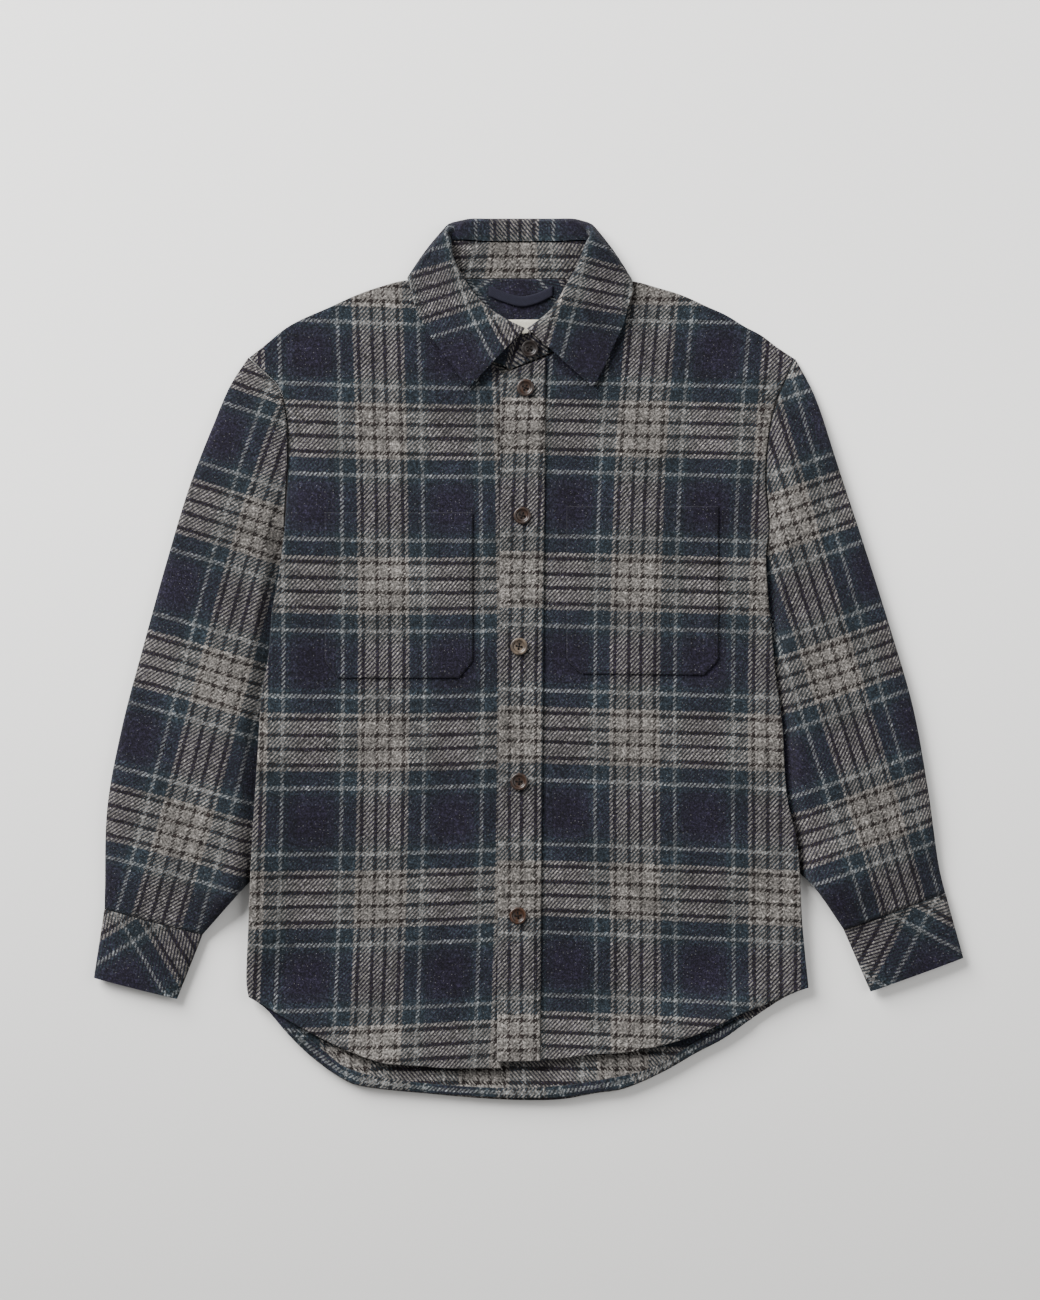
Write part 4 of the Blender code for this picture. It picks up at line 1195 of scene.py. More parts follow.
@dataclass
class Sleeve:
    """A sleeve, flattened on the surface, and its cuff."""

    frame: dict
    wardrobe: Wardrobe
    seams: Seams
    side: Side
    lay: Lay
    cuff_lay: Lay
    loft: float = 8.0 * MM
    cuff_loft: float = 4.5 * MM
    wrist: float = 0.16
    head: float = 0.8
    head_loss: float = 0.75
    turn: float = 9.0 * MM
    under_turn: float = 19.8 * MM
    rim_level: float = 0.72
    lips: tuple[float, ...] = (0.3 * MM, 1.0 * MM, 2.2 * MM, 4.0 * MM, 6.2 * MM, 9.0 * MM)
    rings: int = 110
    puff_spot: tuple[float, float] = (278, -222)
    puff: float = 9.0 * MM
    puff_reach: float = 38 * MM
    highest: float = 21.0 * MM

    def ring_grid(self, plan: np.ndarray, top: np.ndarray) -> tuple[np.ndarray, np.ndarray]:
        """The outside of a flattened tube.

        Args:
            plan: a grid whose rows run across the tube.
            top: heights of its upper side.

        Returns:
            A ring of points for each row, and the plan column of each point of a ring.
        """
        across = np.linalg.norm(np.diff(plan, axis=1), axis=2)
        left = np.hstack([np.zeros((len(plan), 1)), np.cumsum(across, axis=1)])
        away = np.minimum(left, left[:, -1:] - left)
        middle = top * self.rim_level
        over = np.sqrt(1 - (1 - np.clip(away / self.turn, 0, 1)) ** 2)
        under = np.sqrt(1 - (1 - np.clip(away / self.under_turn, 0, 1)) ** 2)
        upper = np.dstack([plan, middle + (top - middle) * over])
        lower = np.dstack([plan, middle * (1 - under)])
        columns = np.arange(plan.shape[1])
        ring = np.concatenate([upper, lower[:, -2:0:-1]], axis=1)
        return ring, np.concatenate([columns, columns[-2:0:-1]])

    def tube(self, name: str, plan: np.ndarray, top: np.ndarray, uv: np.ndarray,
             wall: float) -> bpy.types.Object:
        """A tube of cloth with a wall.

        Args:
            name: the piece's name.
            plan: a grid whose rows run across the tube.
            top: heights of its upper side.
            uv: places on the cloth.
            wall: its thickness.

        Returns:
            The tube.
        """
        ring, columns = self.ring_grid(plan, top)
        rows, count = ring.shape[:2]
        index = np.arange(rows * count).reshape(rows, count)
        index = np.hstack([index, index[:, :1]])
        points = ring.reshape(-1, 3)
        piece = link_mesh(name, points, grid_faces(index), uv[:, columns].reshape(-1, 2),
                          self.wardrobe.wool)
        thicken(piece, wall, -1)
        return piece

    def build(self) -> None:
        """The sleeve and its cuff."""
        left_side = self.side is Side.LEFT
        head = smooth_line(SLEEVE_HEAD_LEFT if left_side else SLEEVE_HEAD_RIGHT[::-1])
        outer = smooth_line((SLEEVE_OUTER_LEFT if left_side else SLEEVE_OUTER_RIGHT)[::-1])
        inner = smooth_line((SLEEVE_INNER_LEFT if left_side else SLEEVE_INNER_RIGHT)[::-1])
        left, right = (outer, inner) if left_side else (inner, outer)
        u, v = graded(0.16, CELL, self.lips), np.linspace(0, 1, self.rings)
        plan = patch(left, right, np.array([left[0], right[0]]), head, u, v)
        name = f"sleeve_{self.side.value}"
        top = softened(Form(self.frame, name).top(plan, 4), 3)
        body_edge = smooth_line(
            (ARMHOLE_LEFT + SIDE_LEFT[1:]) if left_side else (ARMHOLE_RIGHT + SIDE_RIGHT[1:]))
        order = np.argsort(body_edge[:, 1])
        edge_x = np.interp(plan[..., 1], body_edge[order, 1], body_edge[order, 0])
        clear = (edge_x - plan[..., 0]) * (1 if left_side else -1)
        along = np.linspace(0, 1, len(top))[:, None]
        loft = self.cuff_loft + (self.loft - self.cuff_loft) * smooth_step(along, 0, self.wrist)
        loft = loft * (1 - self.head_loss * smooth_step(along, self.head, 1))
        top = top + loft * smooth_step(clear, 1 * MM, 16 * MM)
        spot = np.array(self.puff_spot) * MM * ((-1, 1) if left_side else (1, 1))
        away = np.linalg.norm(plan - spot, axis=-1) / self.puff_reach
        puff = self.puff * np.exp(-away ** 2) * smooth_step(clear, 0, 8 * MM)
        top = np.minimum(top + puff, self.highest)
        piece = self.tube(f"{name}_cloth", plan, top, self.lay.uv(plan), CLOTH)
        dress(piece, "sleeve_cloth", name)
        self.cuff()

    def cuff(self) -> None:
        """The doubled band at the wrist, cut on the bias."""
        corners = CUFF_LEFT if self.side is Side.LEFT else CUFF_RIGHT
        u, v = graded(0.095, CELL, self.lips), graded(0.062, CELL)
        plan = four_sided(corners, u, v)
        name = f"cuff_{self.side.value}"
        top = softened(Form(self.frame, name).top(plan, 4), 2)
        top = top + self.cuff_loft
        piece = self.tube(f"{name}_cloth", plan, top, self.cuff_lay.uv(plan), DOUBLED)
        dress(piece, "cuff_cloth", name)
        ends = np.array(corners, float) * MM
        for down in (0.06, 0.92):
            self.seams.sew(piece, ends[:2] * (1 - down) + ends[2:] * down)


@dataclass(frozen=True)
class Station:
    """One cut across the collar, in millimetres: the leaf's roll and outer edge, the stand's seam,
    its height and the heights of the edge, the stand's top and its seam above the surface."""

    roll: tuple[float, float]
    edge: tuple[float, float]
    seam: tuple[float, float]
    rise: float
    edge_z: float
    top_z: float
    seam_z: float


COLLAR_LEFT = (
    Station((-4, 311), (-57, 256), (-17, 274), 6, 6.6, 7.8, 6.4),
    Station((-24, 321), (-70, 273), (-38, 284), 7, 6.4, 7.8, 5.0),
    Station((-44, 335), (-83, 291), (-58, 299), 9, 6.4, 7.6, 4.0),
    Station((-61, 357), (-95, 308), (-76, 319), 12, 6.6, 7.8, 4.6),
    Station((-72, 379), (-106, 329), (-89, 338), 16, 7.6, 8.0, 5.8),
    Station((-74, 395), (-111, 347), (-94, 351), 20, 7.8, 8.0, 6.2))
FOLD_LEFT = (
    Station((-76.5, 401), (-113, 356), (-95, 356), 21, 8.0, 8.0, 6.4),
    Station((-76, 406), (-114, 359), (-96, 359), 22, 8.0, 8.0, 6.4),
    Station((-75, 411.5), (-113, 361), (-95, 360.5), 22, 8.0, 8.0, 6.4),
    Station((-69, 414.5), (-107, 360), (-91, 360.5), 22, 8.0, 8.0, 6.4),
    Station((-55, 415.5), (-92, 357), (-78, 360.5), 22, 8.0, 8.0, 6.4))
COLLAR_BACK = (
    Station((-37, 415.5), (-58, 352), (-47, 360.5), 22, 1.2, 5.2, 3.6),
    Station((-8, 415.5), (-8, 350), (-8, 360.5), 22, 1.2, 5.2, 3.6),
    Station((22, 415.5), (42, 352), (31, 360.5), 22, 1.2, 5.2, 3.6))
FOLD_RIGHT = (
    Station((42, 415.5), (76, 357), (61, 360.5), 22, 8.0, 8.0, 6.4),
    Station((54, 414.5), (90, 360), (74, 360.5), 22, 8.0, 8.0, 6.4),
    Station((59.5, 411), (95, 361), (78, 360.5), 22, 8.0, 8.0, 6.4),
    Station((59.5, 405), (97, 358), (79, 359), 22, 8.0, 8.0, 6.4),
    Station((59, 399), (98, 353), (78, 356), 21, 8.0, 8.0, 6.4))
COLLAR_RIGHT = (
    Station((55, 392), (98, 346), (76, 351), 20, 7.8, 8.0, 6.2),
    Station((47, 371), (93, 329), (71, 338), 16, 7.6, 8.0, 5.8),
    Station((38, 355), (89, 314), (58, 319), 12, 6.6, 7.8, 4.6),
    Station((25, 333), (80, 295), (41, 299), 9, 6.4, 7.0, 4.0),
    Station((13, 321), (71, 275), (21, 290), 5, 6.4, 5.4, 3.5),
    Station((-1, 311), (61, 257), (0, 284), 3, 6.6, 4.6, 3.4))
LAP_OVER = Station((14, 312), (14, 256), (19, 289), 6, 6.6, 7.6, 6.4)
LAP_UNDER = Station((-18, 308), (-18, 256), (-20, 282), 3, 6.6, 4.6, 3.4)
ROLL_FRONT_Z = 12.0
BACK_FALL_Z = 1.2
BACK_TOP_Z = 5.2
BACK_SEAM_Z = 3.6


@dataclass(frozen=True)
class LeafLay:
    """How a leaf's front is cut: its middle point, and factors of 1, X, Y and XY, in millimetres,
    for the way along the collar from the middle of the back and the way across it."""

    middle: tuple[float, float]
    along: tuple[float, ...]
    across: tuple[float, ...]


@dataclass
class Collar:
    """The turned-down leaf and the stand inside it."""

    frame: dict
    wardrobe: Wardrobe
    seams: Seams
    roll_radius: float = 3.2 * MM
    back_radius: float = 4.6 * MM
    roll_lift: float = 5.5 * MM
    roll_steps: int = 8
    fall_cells: int = 16
    stand_cells: int = 8
    between: int = 5
    fall_curve: float = 1.6
    bulge: float = 1.5 * MM
    back_band: float = 13.8
    back_navy: float = 414.0
    navy_away: float = 74.0
    leaf_left: LeafLay = LeafLay((-84, 331), (148.1, 28.0, -93.0, 0.0),
                                 (4.6, -117.4, -33.6, -46.8))
    leaf_right: LeafLay = LeafLay((68, 331), (154.3, -15.8, -100.9, -20.0),
                                  (1.8, 118.4, -20.9, 27.3))
    tip_lift: float = 2.6 * MM
    tip_sections: int = 6
    fall_off: float = 1.3
    tuck: float = 1.4 * MM
    stand_behind: float = 0.6
    stand_ahead: float = 0.2
    tab_hidden: tuple[float, float] = (55 * MM, 75 * MM)
    tab_band: float = 12 * MM
    tab_navy: float = 62 * MM
    stand_middle: float = 14 * MM
    lap_cells: int = 4

    def section(self, station: Station, turn: float) -> np.ndarray:
        """A station's roll, edge, stand top, seam and normal.

        Args:
            station: the cut.
            turn: from 0, where the leaf lies on the fronts, to half a turn, under the back.

        Returns:
            Five rows of x, y and z in metres.
        """
        roll, edge, seam = (np.array(p, float) * MM
                            for p in (station.roll, station.edge, station.seam))
        outward = (edge - roll) / np.linalg.norm(edge - roll)
        top = roll + (seam - roll) / np.linalg.norm(seam - roll) * station.rise * MM
        side = np.array([outward[1], -outward[0]])
        side *= math.copysign(math.sin(turn), side[1])
        normal = np.array([*side, math.cos(turn)])
        on_front = (ROLL_FRONT_Z, station.edge_z, station.top_z, station.seam_z)
        under_back = (BACK_FALL_Z, BACK_FALL_Z, BACK_TOP_Z, BACK_SEAM_Z)
        ahead = (1 + math.cos(turn)) / 2
        stand_lift = self.stand_behind + (self.stand_ahead - self.stand_behind) * ahead
        lifts = (self.roll_lift * ahead, 0.0, self.roll_lift * stand_lift, 0.0)
        rows = []
        for point, upper, under, lift in zip((roll, edge, top, seam), on_front, under_back, lifts):
            level = (upper + under) / 2 + normal[2] * (upper - under) / 2
            rows.append(np.array([*point, level * MM + lift]))
        return np.array(rows + [normal])

    def sections(self) -> np.ndarray:
        """Every section, from the left leaf's front edge round the back to the right leaf's."""
        turns = np.linspace(0, math.pi, len(FOLD_LEFT))
        coarse = [self.section(s, 0) for s in COLLAR_LEFT]
        coarse += [self.section(s, turn) for s, turn in zip(FOLD_LEFT, turns)]
        coarse += [self.section(s, math.pi) for s in COLLAR_BACK]
        coarse += [self.section(s, turn) for s, turn in zip(FOLD_RIGHT, turns[::-1])]
        coarse += [self.section(s, 0) for s in COLLAR_RIGHT]
        return self.finer(np.array(coarse))

    def finer(self, coarse: np.ndarray) -> np.ndarray:
        """More sections, smoothly between those given.

        Args:
            coarse: sections, one after another.

        Returns:
            Sections with the given ones among them.
        """
        shape = coarse.shape[1:]
        flat = coarse.reshape(len(coarse), -1)
        padded = np.vstack([2 * flat[0] - flat[1], flat, 2 * flat[-1] - flat[-2]])
        t = np.linspace(0, 1, self.between, endpoint=False)[:, None]
        pieces = []
        for a, b, c, d in zip(padded[:-3], padded[1:-2], padded[2:-1], padded[3:]):
            pieces.append(b + t / 2 * (c - a + t * (2 * a - 5 * b + 4 * c - d
                                                    + t * (3 * (b - c) + d - a))))
        return np.vstack(pieces + [flat[-1:]]).reshape(-1, *shape)

    def leaf_profile(self, section: np.ndarray) -> np.ndarray:
        """The leaf's middle surface across one section, from the stand's top over the roll.

        Args:
            section: its five rows.

        Returns:
            Points from the stand's top to the outer edge.
        """
        roll, edge, top, _, normal = section
        normal = normal / np.linalg.norm(normal)
        outward = edge - roll
        outward[2] = 0
        outward = outward / np.linalg.norm(outward)
        radius = self.roll_radius + (self.back_radius - self.roll_radius) * (1 - normal[2]) / 2
        crown = roll + outward * radius
        centre = crown - normal * radius
        inner_end = centre - normal * radius
        start = top + (inner_end - top) / np.linalg.norm(inner_end - top) * self.tuck
        points = [start + (inner_end - start) * k / 4 for k in range(5)]
        for k in range(1, self.roll_steps):
            angle = math.pi * k / self.roll_steps
            points.append(centre - outward * radius * math.sin(angle)
                          - normal * radius * math.cos(angle))
        for k in range(self.fall_cells + 1):
            t = k / self.fall_cells
            point = crown + (edge - crown) * t
            point[2] = edge[2] + (crown[2] - edge[2]) * (1 - t ** self.fall_curve)
            point[:2] += normal[:2] * self.bulge * math.sin(math.pi * t)
            points.append(point)
        return np.array(points)

    def settled(self, grid: np.ndarray, facing: np.ndarray, form: Form, first: int,
                wall: float, extra: np.ndarray) -> np.ndarray:
        """Lay the part of a grid that lies on the fronts at its solid's height.

        Args:
            grid: the middle surface.
            facing: how far up each row faces, from -1 to 1.
            form: the solid.
            first: the first column that lies on the fronts.
            wall: the thickness.
            extra: how far above its solid each of those columns lies.

        Returns:
            The grid with its new heights.
        """
        grid = grid.copy()
        part = grid[:, first:]
        heights = np.full(part.shape[:2], np.nan)
        for row, column in np.ndindex(*part.shape[:2]):
            x, y, _ = part[row, column]
            hit = form.tree.ray_cast(Vector((x, y, 1)), DOWN)[0]
            if hit is not None:
                heights[row, column] = hit.z - wall / 2
        heights[:, -1] = np.nan
        heights = softened(filled(heights), 2)
        share = smooth_step(facing, 0.92, 1.0)[:, None]
        share = share * smooth_step(np.arange(part.shape[1]), 0, 3)[None]
        heights = heights + extra
        part[..., 2] += share * (heights - part[..., 2])
        return grid

    def leaf(self, sections: np.ndarray) -> bpy.types.Object:
        """The leaf, doubled, with its check along the collar."""
        grid = np.array([self.leaf_profile(s) for s in sections])
        first = grid.shape[1] - self.fall_cells - 1
        form = Form(self.frame, "collar_leaf")
        fall = self.roll_lift * (1 - np.linspace(0, 1, self.fall_cells + 1)) ** self.fall_off
        grid = self.settled(grid, sections[:, 4, 2], form, first, DOUBLED, fall)
        facing = sections[:, 4, 2]
        edges = np.linspace(0, 1, self.fall_cells + 1)[None]
        ends = np.minimum(np.arange(len(grid)), np.arange(len(grid))[::-1])[:, None]
        lift = self.tip_lift * np.maximum(smooth_step(edges, 0.55, 1.0),
                                          1 - smooth_step(ends, 0, self.tip_sections))
        lift = lift * smooth_step(edges, 0, 0.4) * smooth_step(facing, 0.9, 1.0)[:, None]
        grid[:, first:, 2] += lift
        uv = self.leaf_weave(sections, grid, first)
        piece = link_grid("collar_leaf_cloth", grid, uv, self.wardrobe.wool)
        thicken(piece, DOUBLED, 0, 0.8 * MM)
        dress(piece, "collar_cloth", "collar_leaf")
        for on_front in (slice(2, len(COLLAR_LEFT) * self.between),
                         slice(-len(COLLAR_RIGHT) * self.between, -2)):
            self.seams.sew(piece, grid[on_front, -3, :2])
        return piece

    def leaf_weave(self, sections: np.ndarray, grid: np.ndarray, first: int) -> np.ndarray:
        """The leaf's places on the cloth, its length across the warp.

        Args:
            sections: the collar's sections.
            grid: the leaf's middle surface.
            first: the column at the crown of the roll.

        Returns:
            Places in metres, by row and column.
        """
        across = np.linalg.norm(np.diff(grid, axis=1), axis=2)
        down = np.hstack([np.zeros((len(grid), 1)), np.cumsum(across, axis=1)])
        down = down - down[:, first:first + 1]
        roll = sections[:, 0, :2]
        outward = sections[:, 1, :2] - roll
        outward /= np.linalg.norm(outward, axis=1)[:, None]
        upward = roll - sections[:, 3, :2]
        upward /= np.linalg.norm(upward, axis=1)[:, None]
        flat = (roll[:, None] + outward[:, None] * down[..., None]) / MM
        behind = (roll[:, None] + upward[:, None] * down[..., None]) / MM
        centre = (self.back_band + behind[..., 0], behind[..., 1] - self.back_navy)
        fields = []
        for fit in (self.leaf_left, self.leaf_right):
            x, y = ((flat[..., k] - fit.middle[k]) / 100 for k in (0, 1))
            terms = (np.ones_like(x), x, y, x * y)
            fields.append([sum(k * term for k, term in zip(factors, terms))
                           for factors in (fit.along, fit.across)])
        on_left = (np.arange(len(grid)) < len(grid) / 2)[:, None]
        front = [np.where(on_left, -fields[0][0], fields[1][0]),
                 np.where(on_left, fields[0][1], fields[1][1])]
        share = smooth_step(-sections[:, 4, 2], -0.98, 0.98)[:, None]
        u, v = ((1 - share) * f + share * b for f, b in zip(front, centre))
        return np.stack([-u, v + self.navy_away], axis=-1) * MM

    def stand(self, sections: np.ndarray) -> bpy.types.Object:
        """The band inside the leaf, closed by the top button."""
        rows = np.array([[s[3] + (s[2] - s[3]) * k / self.stand_cells
                          for k in range(self.stand_cells + 1)] for s in sections])
        form = Form(self.frame, "collar_stand")
        rise = self.stand_ahead * self.roll_lift * np.linspace(0, 1, self.stand_cells + 1)
        grid = self.settled(rows, sections[:, 4, 2], form, 0, STAND, rise)
        middle = grid[:, self.stand_cells // 2]
        along = np.concatenate([[0], np.cumsum(np.linalg.norm(np.diff(middle, axis=0), axis=1))])
        centre = along[np.argmin(np.abs(middle[:, 0] + 14 * MM) + 10 * (middle[:, 1] < 0.34))]
        across = np.linalg.norm(np.diff(grid, axis=1), axis=2)
        up = np.hstack([np.zeros((len(grid), 1)), np.cumsum(across, axis=1)])
        u = np.repeat((along - centre)[:, None], grid.shape[1], axis=1)
        ends = np.minimum(along, along[-1] - along)[:, None]
        hidden = 1 - smooth_step(ends, *self.tab_hidden)
        uv = np.stack([u * (1 - hidden) + (ends - self.tab_band) * hidden,
                       (up - self.stand_middle) + self.tab_navy * hidden], axis=-1)
        piece = link_grid("collar_stand_cloth", grid, uv, self.wardrobe.wool)
        thicken(piece, STAND, 0, 0.6 * MM)
        dress(piece, "stand_cloth", "collar_stand")
        return piece

    def build(self) -> None:
        """Both pieces of the collar."""
        sections = self.sections()
        self.leaf(sections)
        over, under = self.section(LAP_OVER, 0), self.section(LAP_UNDER, 0)
        shares = np.arange(self.lap_cells)[:, None, None] / self.lap_cells
        lap_over = over + (sections[0] - over) * shares
        lap_under = sections[-1] + (under - sections[-1]) * (shares + 1 / self.lap_cells)
        self.stand(np.vstack([lap_over, sections, lap_under]))


@dataclass
class NeckTrim:
    """The hanger loop and the blank label inside the back of the neck."""

    frame: dict
    wardrobe: Wardrobe
    relief: Relief
    lips: tuple[float, ...] = (0.3 * MM, 0.9 * MM, 1.8 * MM)

    def tape(self, node: str, plan: np.ndarray, u: np.ndarray, v: np.ndarray,
             slot: str, wall: float,
             material: bpy.types.Material) -> None:
        """One piece on its solid, laid on the back.

        Args:
            node: its solid's name.
            plan: its plan grid.
            u: places of the columns along it, in metres.
            v: places of the rows.
            slot: not used.
            wall: its thickness.
            material: its finish.
        """
        top = softened(Form(self.frame, node).top(plan, 1), 1) + self.relief.lift(plan)
        uv = np.stack(np.meshgrid(u, v), axis=-1)
        piece = dress(make_shell(f"{node}_tape", plan, top, wall, uv, material), slot, node)

    def build(self) -> None:
        """Both pieces."""
        upper = smooth_line(LOOP_TOP)
        lower = upper - np.array([0, LOOP_WIDTH])
        runs = (LOOP_LENGTH, 3 * MM), (LOOP_WIDTH, 2 * MM)
        u, v = (graded(*run, self.lips) for run in runs)
        plan = patch(np.array([lower[0], upper[0]]), np.array([lower[-1], upper[-1]]), lower,
                     upper, u, v)
        self.tape("hanger_loop", plan, u * LOOP_LENGTH, v * LOOP_WIDTH,
                  "loop_cloth", CLOTH, self.wardrobe.navy_wool)
        u, v = (graded(length, 3 * MM, self.lips) for length in (0.05, 0.02))
        plan = four_sided(LABEL_CORNERS, u, v)
        self.tape("neck_label", plan, u * 0.05, v * 0.02, "label_cotton", TAPE,
                  self.wardrobe.cotton)


@dataclass
class Buttons:
    """Six turned four-hole buttons with their thread."""

    frame: dict
    wardrobe: Wardrobe
    relief: Relief
    radius: float = 8.2 * MM
    height: float = 2.8 * MM
    hole_radius: float = 1.05 * MM
    hole_spread: float = 1.75 * MM
    segments: int = 48
    tones: tuple[int, ...] = (0, 1, 1, 2, 1, 3)
    profile: Points = ((0, 0.50), (0.42, 0.50), (0.56, 0.54), (0.60, 0.64), (0.63, 0.58),
                       (0.66, 0.74), (0.74, 0.95), (0.80, 1.0), (0.88, 1.0), (0.95, 0.93),
                       (0.995, 0.74), (0.98, 0.5), (0.88, 0.16), (0.70, 0.02), (0.4, 0.0),
                       (0, 0.0))

    def blank(self) -> bpy.types.Mesh:
        """One button at the origin, its face up."""
        points = [(0.0, 0.0, self.profile[0][1] * self.height)]
        for share, level in self.profile[1:-1]:
            for k in range(self.segments):
                turn = 2 * math.pi * k / self.segments
                points.append((share * self.radius * math.cos(turn),
                               share * self.radius * math.sin(turn), level * self.height))
        points.append((0.0, 0.0, 0.0))
        rings = len(self.profile) - 2
        faces = []
        for k in range(self.segments):
            after = (k + 1) % self.segments
            faces.append((0, 1 + k, 1 + after))
            for ring in range(rings - 1):
                near, far = 1 + ring * self.segments, 1 + (ring + 1) * self.segments
                faces.append((near + k, far + k, far + after, near + after))
            last = 1 + (rings - 1) * self.segments
            faces.append((last + after, last + k, len(points) - 1))
        mesh = bpy.data.meshes.new("button_blank")
        mesh.from_pydata(points, [], faces)
        blank, drill = linked("button_blank", mesh), linked("drill", self.drill())
        cut = blank.modifiers.new("holes", "BOOLEAN")
        cut.operation = "DIFFERENCE"
        cut.solver = "EXACT"
        cut.object = drill
        apply_modifiers(blank)
        made = blank.data
        bpy.data.objects.remove(blank)
        bpy.data.objects.remove(drill)
        made.shade_smooth()
        made.set_sharp_from_angle(angle=math.radians(45))
        return made

    def drill(self) -> bpy.types.Mesh:
        """Four posts that cut the holes."""
        posts = bmesh.new()
        for x in (-self.hole_spread, self.hole_spread):
            for y in (-self.hole_spread, self.hole_spread):
                bmesh.ops.create_cone(posts, cap_ends=True, segments=16,
                                      radius1=self.hole_radius, radius2=self.hole_radius,
                                      depth=4 * self.height, matrix=Matrix.Translation((x, y, 0)))
        mesh = bpy.data.meshes.new("drill")
        posts.to_mesh(mesh)
        posts.free()
        return mesh

    def threads(self) -> bmesh.types.BMesh:
        """Two crossing strands from hole to hole, and the shank in the holes."""
        made = bmesh.new()
        top = self.profile[0][1] * self.height
        span = 2 * math.sqrt(2) * self.hole_spread
        for layer, angle in enumerate((math.pi / 4, -math.pi / 4)):
            run = (Matrix.Translation((0, 0, top + (0.2 + 0.3 * layer) * MM))
                   @ Matrix.Rotation(angle, 4, "Z") @ Matrix.Rotation(math.pi / 2, 4, "Y"))
            bmesh.ops.create_cone(made, cap_ends=True, segments=8, radius1=0.36 * MM,
                                  radius2=0.36 * MM, depth=span, matrix=run)
        for y in (-self.hole_spread, self.hole_spread):
            for x in (-self.hole_spread, self.hole_spread):
                bmesh.ops.create_cone(made, cap_ends=True, segments=8, radius1=0.6 * MM,
                                      radius2=0.6 * MM, depth=top,
                                      matrix=Matrix.Translation((x, y, top / 2)))
        return made

    def build(self) -> None:
        """All buttons and their threads."""
        blank = self.blank()
        sewn = bmesh.new()
        for number, (x, y) in enumerate(BUTTONS, 1):
            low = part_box(f"button_{number}")[0]
            place = np.array([x, y]) * MM
            lift = float(self.relief.lift(place))
            turn = Matrix.Rotation(0.15 * number, 4, "Z")
            put = Matrix.Translation((*place, low[2] + lift)) @ turn
            mesh = blank.copy()
            mesh.transform(put)
            mesh.materials.clear()
            mesh.materials.append(self.wardrobe.horns[self.tones[number - 1]])
            dress(linked(f"button_{number}_horn", mesh), "brown_horn", f"button_{number}")
            strands = self.threads()
            strands.transform(put)
            holder = bpy.data.meshes.new("strands")
            strands.to_mesh(holder)
            strands.free()
            sewn.from_mesh(holder)
            bpy.data.meshes.remove(holder)
        mesh = bpy.data.meshes.new("button_threads")
        sewn.to_mesh(mesh)
        sewn.free()
        mesh.uv_layers.new(name="weave")
        mesh.materials.append(self.wardrobe.thread)
        mesh.shade_smooth()
        dress(linked("button_threads", mesh), "brown_horn")


@dataclass
class Studio:
    """The floor, the light and the camera."""

    middle: tuple[float, float] = (-8.1 * MM, 7.6 * MM)
    seen_height: float = 1.235
    lens: float = 85.0
    sensor: float = 36.0
    half_floor: float = 12.0
    floor_top: float = -0.3 * MM
    sky: float = 0.5
    lamps: tuple[tuple[str, tuple[float, float, float], float, float], ...] = (
        ("key", (-2.85, 3.0, 2.4), 3.0, 1040.0), ("fill", (2.4, 0.3, 2.4), 2.4, 76.0))
    # foot is the floor's colour at the foot of the picture, darker than ground as painted shade
    # where the lamps' light falls off.
    foot: Colour = linear(184, 183, 181)
    ground: Colour = linear(212, 211, 209)

    def camera(self) -> None:
        """A camera straight above."""
        data = bpy.data.cameras.new("camera")
        data.lens = self.lens
        data.sensor_width = self.sensor
        data.clip_end = 20.0
        camera = linked("camera", data)
        camera.location = (*self.middle, self.seen_height * self.lens / self.sensor)
        bpy.context.scene.camera = camera

    def floor(self) -> None:
        """A plain pale floor, a little darker towards the foot of the picture as painted shade
        where the lamps' light falls off.
        """
        material, bench, shader = new_material("studio_floor")
        place = bench.node("ShaderNodeTexCoord").outputs["Object"]
        parts = bench.node("ShaderNodeSeparateXYZ")
        bench.wire(place, parts.inputs[0])
        share = bench.spread(parts.outputs[1], -0.6, 0.15, 0.0, 1.0)
        bench.wire(bench.mix(share, (*self.foot, 1.0), (*self.ground, 1.0)),
                   shader.inputs["Base Color"])
        grain = bench.noise(place, 900.0, 2.0).outputs[0]
        bench.wire(bench.spread(grain, 0.3, 0.7, 0.86, 0.94), shader.inputs["Roughness"])
        bench.fixed(shader, Specular_IOR_Level=0.1)
        mesh = bpy.data.meshes.new("studio_floor")
        corners = [(x * self.half_floor, y * self.half_floor, self.floor_top)
                   for x, y in ((-1, -1), (1, -1), (1, 1), (-1, 1))]
        mesh.from_pydata(corners, [], [(0, 1, 2, 3)])
        mesh.materials.append(material)
        linked("studio_floor", mesh)

    def light(self, name: str, place: tuple[float, float, float], size: float,
              power: float) -> None:
        """A soft square lamp that looks at the jacket."""
        data = bpy.data.lights.new(name, "AREA")
        data.size = size
        data.energy = power
        lamp = linked(name, data)
        lamp.location = place
        lamp.rotation_mode = "QUATERNION"
        lamp.rotation_quaternion = (-Vector(place)).to_track_quat("-Z", "Y")

    def build(self) -> None:
        """All of the studio."""
        self.camera()
        self.floor()
        for name, place, size, power in self.lamps:
            self.light(name, place, size, power)
        world = bpy.data.worlds.new("studio")
        world.use_nodes = True
        sky = world.node_tree.nodes["Background"].inputs
        sky["Color"].default_value, sky["Strength"].default_value = (1.0,) * 4, self.sky
        bpy.context.scene.world = world


def plan_point(px: float, py: float) -> tuple[float, float]:
    """A picture point of the 1040 by 1300 frame as a plan point in millimetres."""
    return (px - 528.5) * 0.95, (658 - py) * 0.95


CREASES = (
    Crease((-150, -100), (-120, -330), 26, 1.6),
    Crease((-60, -60), (-95, -230), 22, -1.0),
    Crease((110, -70), (150, -300), 28, 1.5),
    Crease((215, 190), (120, 120), 20, 1.1),
    Crease((-215, 200), (-130, 110), 20, 1.0),
)


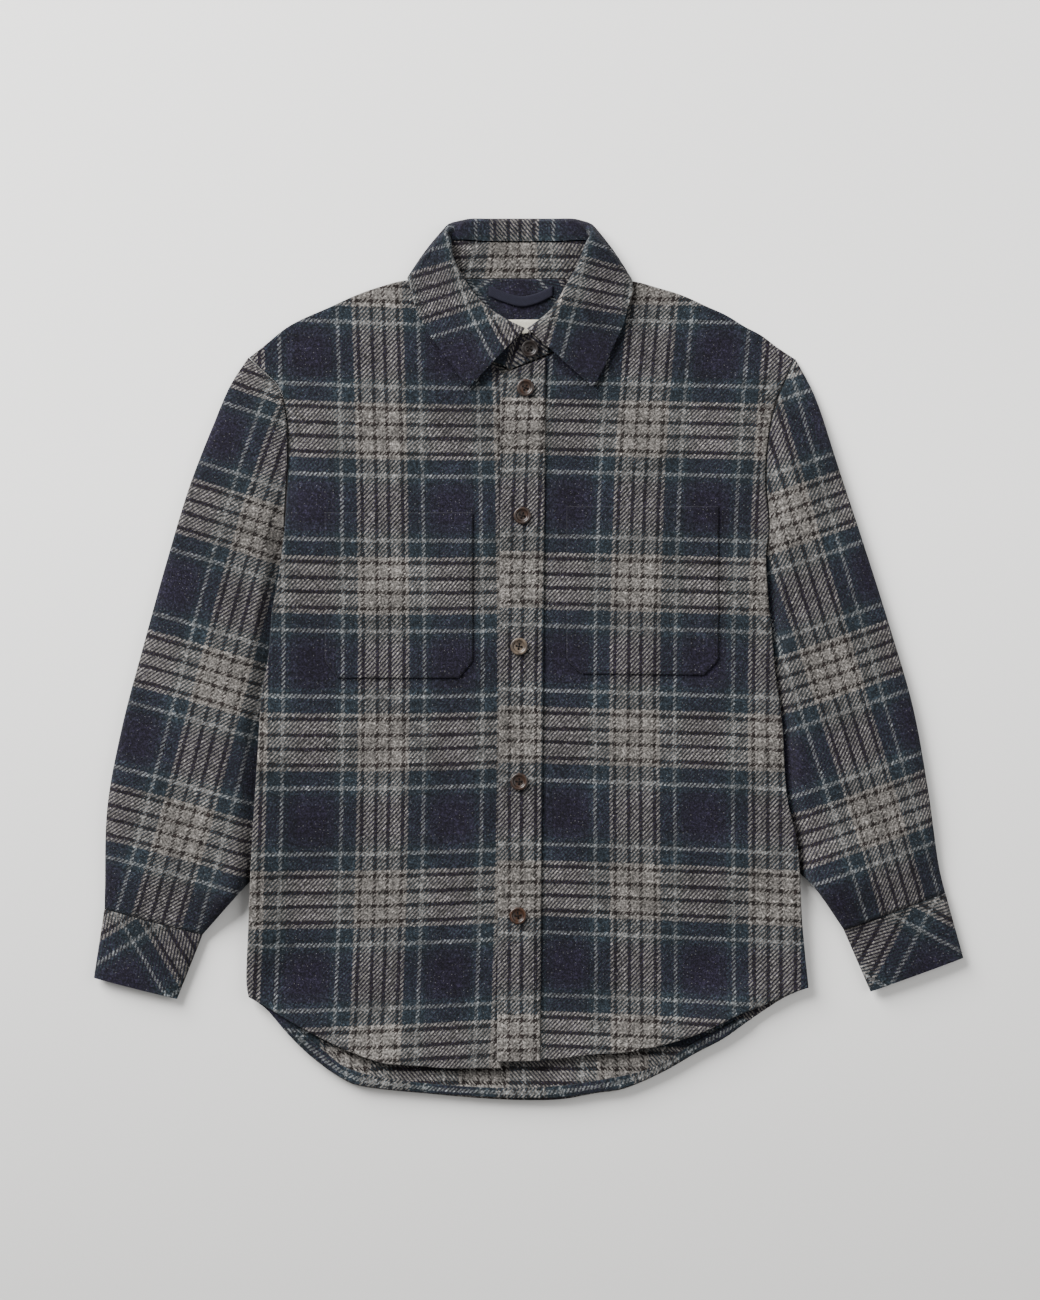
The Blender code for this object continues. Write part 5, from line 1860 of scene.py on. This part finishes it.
def main() -> None:
    """Builds and dresses the jacket."""
    logging.basicConfig(level=logging.INFO, format="%(message)s")
    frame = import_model()
    wardrobe = Wardrobe.make()
    relief = Relief(CREASES)
    Studio().build()
    seams = Seams(wardrobe.thread)
    Body(frame, wardrobe, relief, seams,
         lay_left=Lay(plan_point(382.3, 586.8),
                      drift_u=(-1.43, -1.4, 1.45, 2.98, 1.3, 2.34, 0.0),
                      drift_v=(-0.74, 1.8, -0.1, -4.79, 4.31, 1.51, 0.77)),
         lay_right=Lay(plan_point(637, 586.8),
                       drift_u=(1.19, 2.38, -4.55, -4.29, -0.12, -4.29, -1.05),
                       drift_v=(-3.29, 5.54, 1.29, 0.86, -1.57, 0.41, 0.78)),
         lay_back=Lay(plan_point(484, 1075), wrong_side=True),
         lay_yoke=Lay((1.5, 438.3), turn=-35.0, wrong_side=True),
         lay_placket=Lay(plan_point(521, 582), drift_u=(3.58, 0, -4.11, 0, 0, -3.28, -0.83),
                         drift_v=(-2.25, 0, 1.89, 0, 0, 0.81, 0.45))).build()
    Sleeve(frame, wardrobe, seams, Side.LEFT,
           Lay(plan_point(215, 672), turn=15.5,
               drift_u=(-9.2, -2.1, 4.1, -9.5, 2.0, -1.5, -3.4),
               drift_v=(5.4, 4.0, -0.6, 10.0, 8.2, -0.8, 2.2)),
           Lay((-368, -211.7), turn=-34.5, drift_u=(-5.6, -12.6, -10.5),
               drift_v=(0.3, 7.6, -3.9))).build()
    Sleeve(frame, wardrobe, seams, Side.RIGHT,
           Lay(plan_point(825, 660), turn=-15.5,
               drift_u=(-2.8, -8.4, 5.2, 29.6, -14.7, -0.6, -0.9),
               drift_v=(9.7, -10.8, 1.5, -5.1, 2.3, -2.9, -1.1)),
           Lay((365.2, -200.3), turn=34.5, drift_u=(10.6, -21.7, 21.8),
               drift_v=(3.8, -22.1, -4.6))).build()
    Collar(frame, wardrobe, seams).build()
    NeckTrim(frame, wardrobe, relief).build()
    Buttons(frame, wardrobe, relief).build()
    seams.build()


if __name__ == "__main__":
    main()
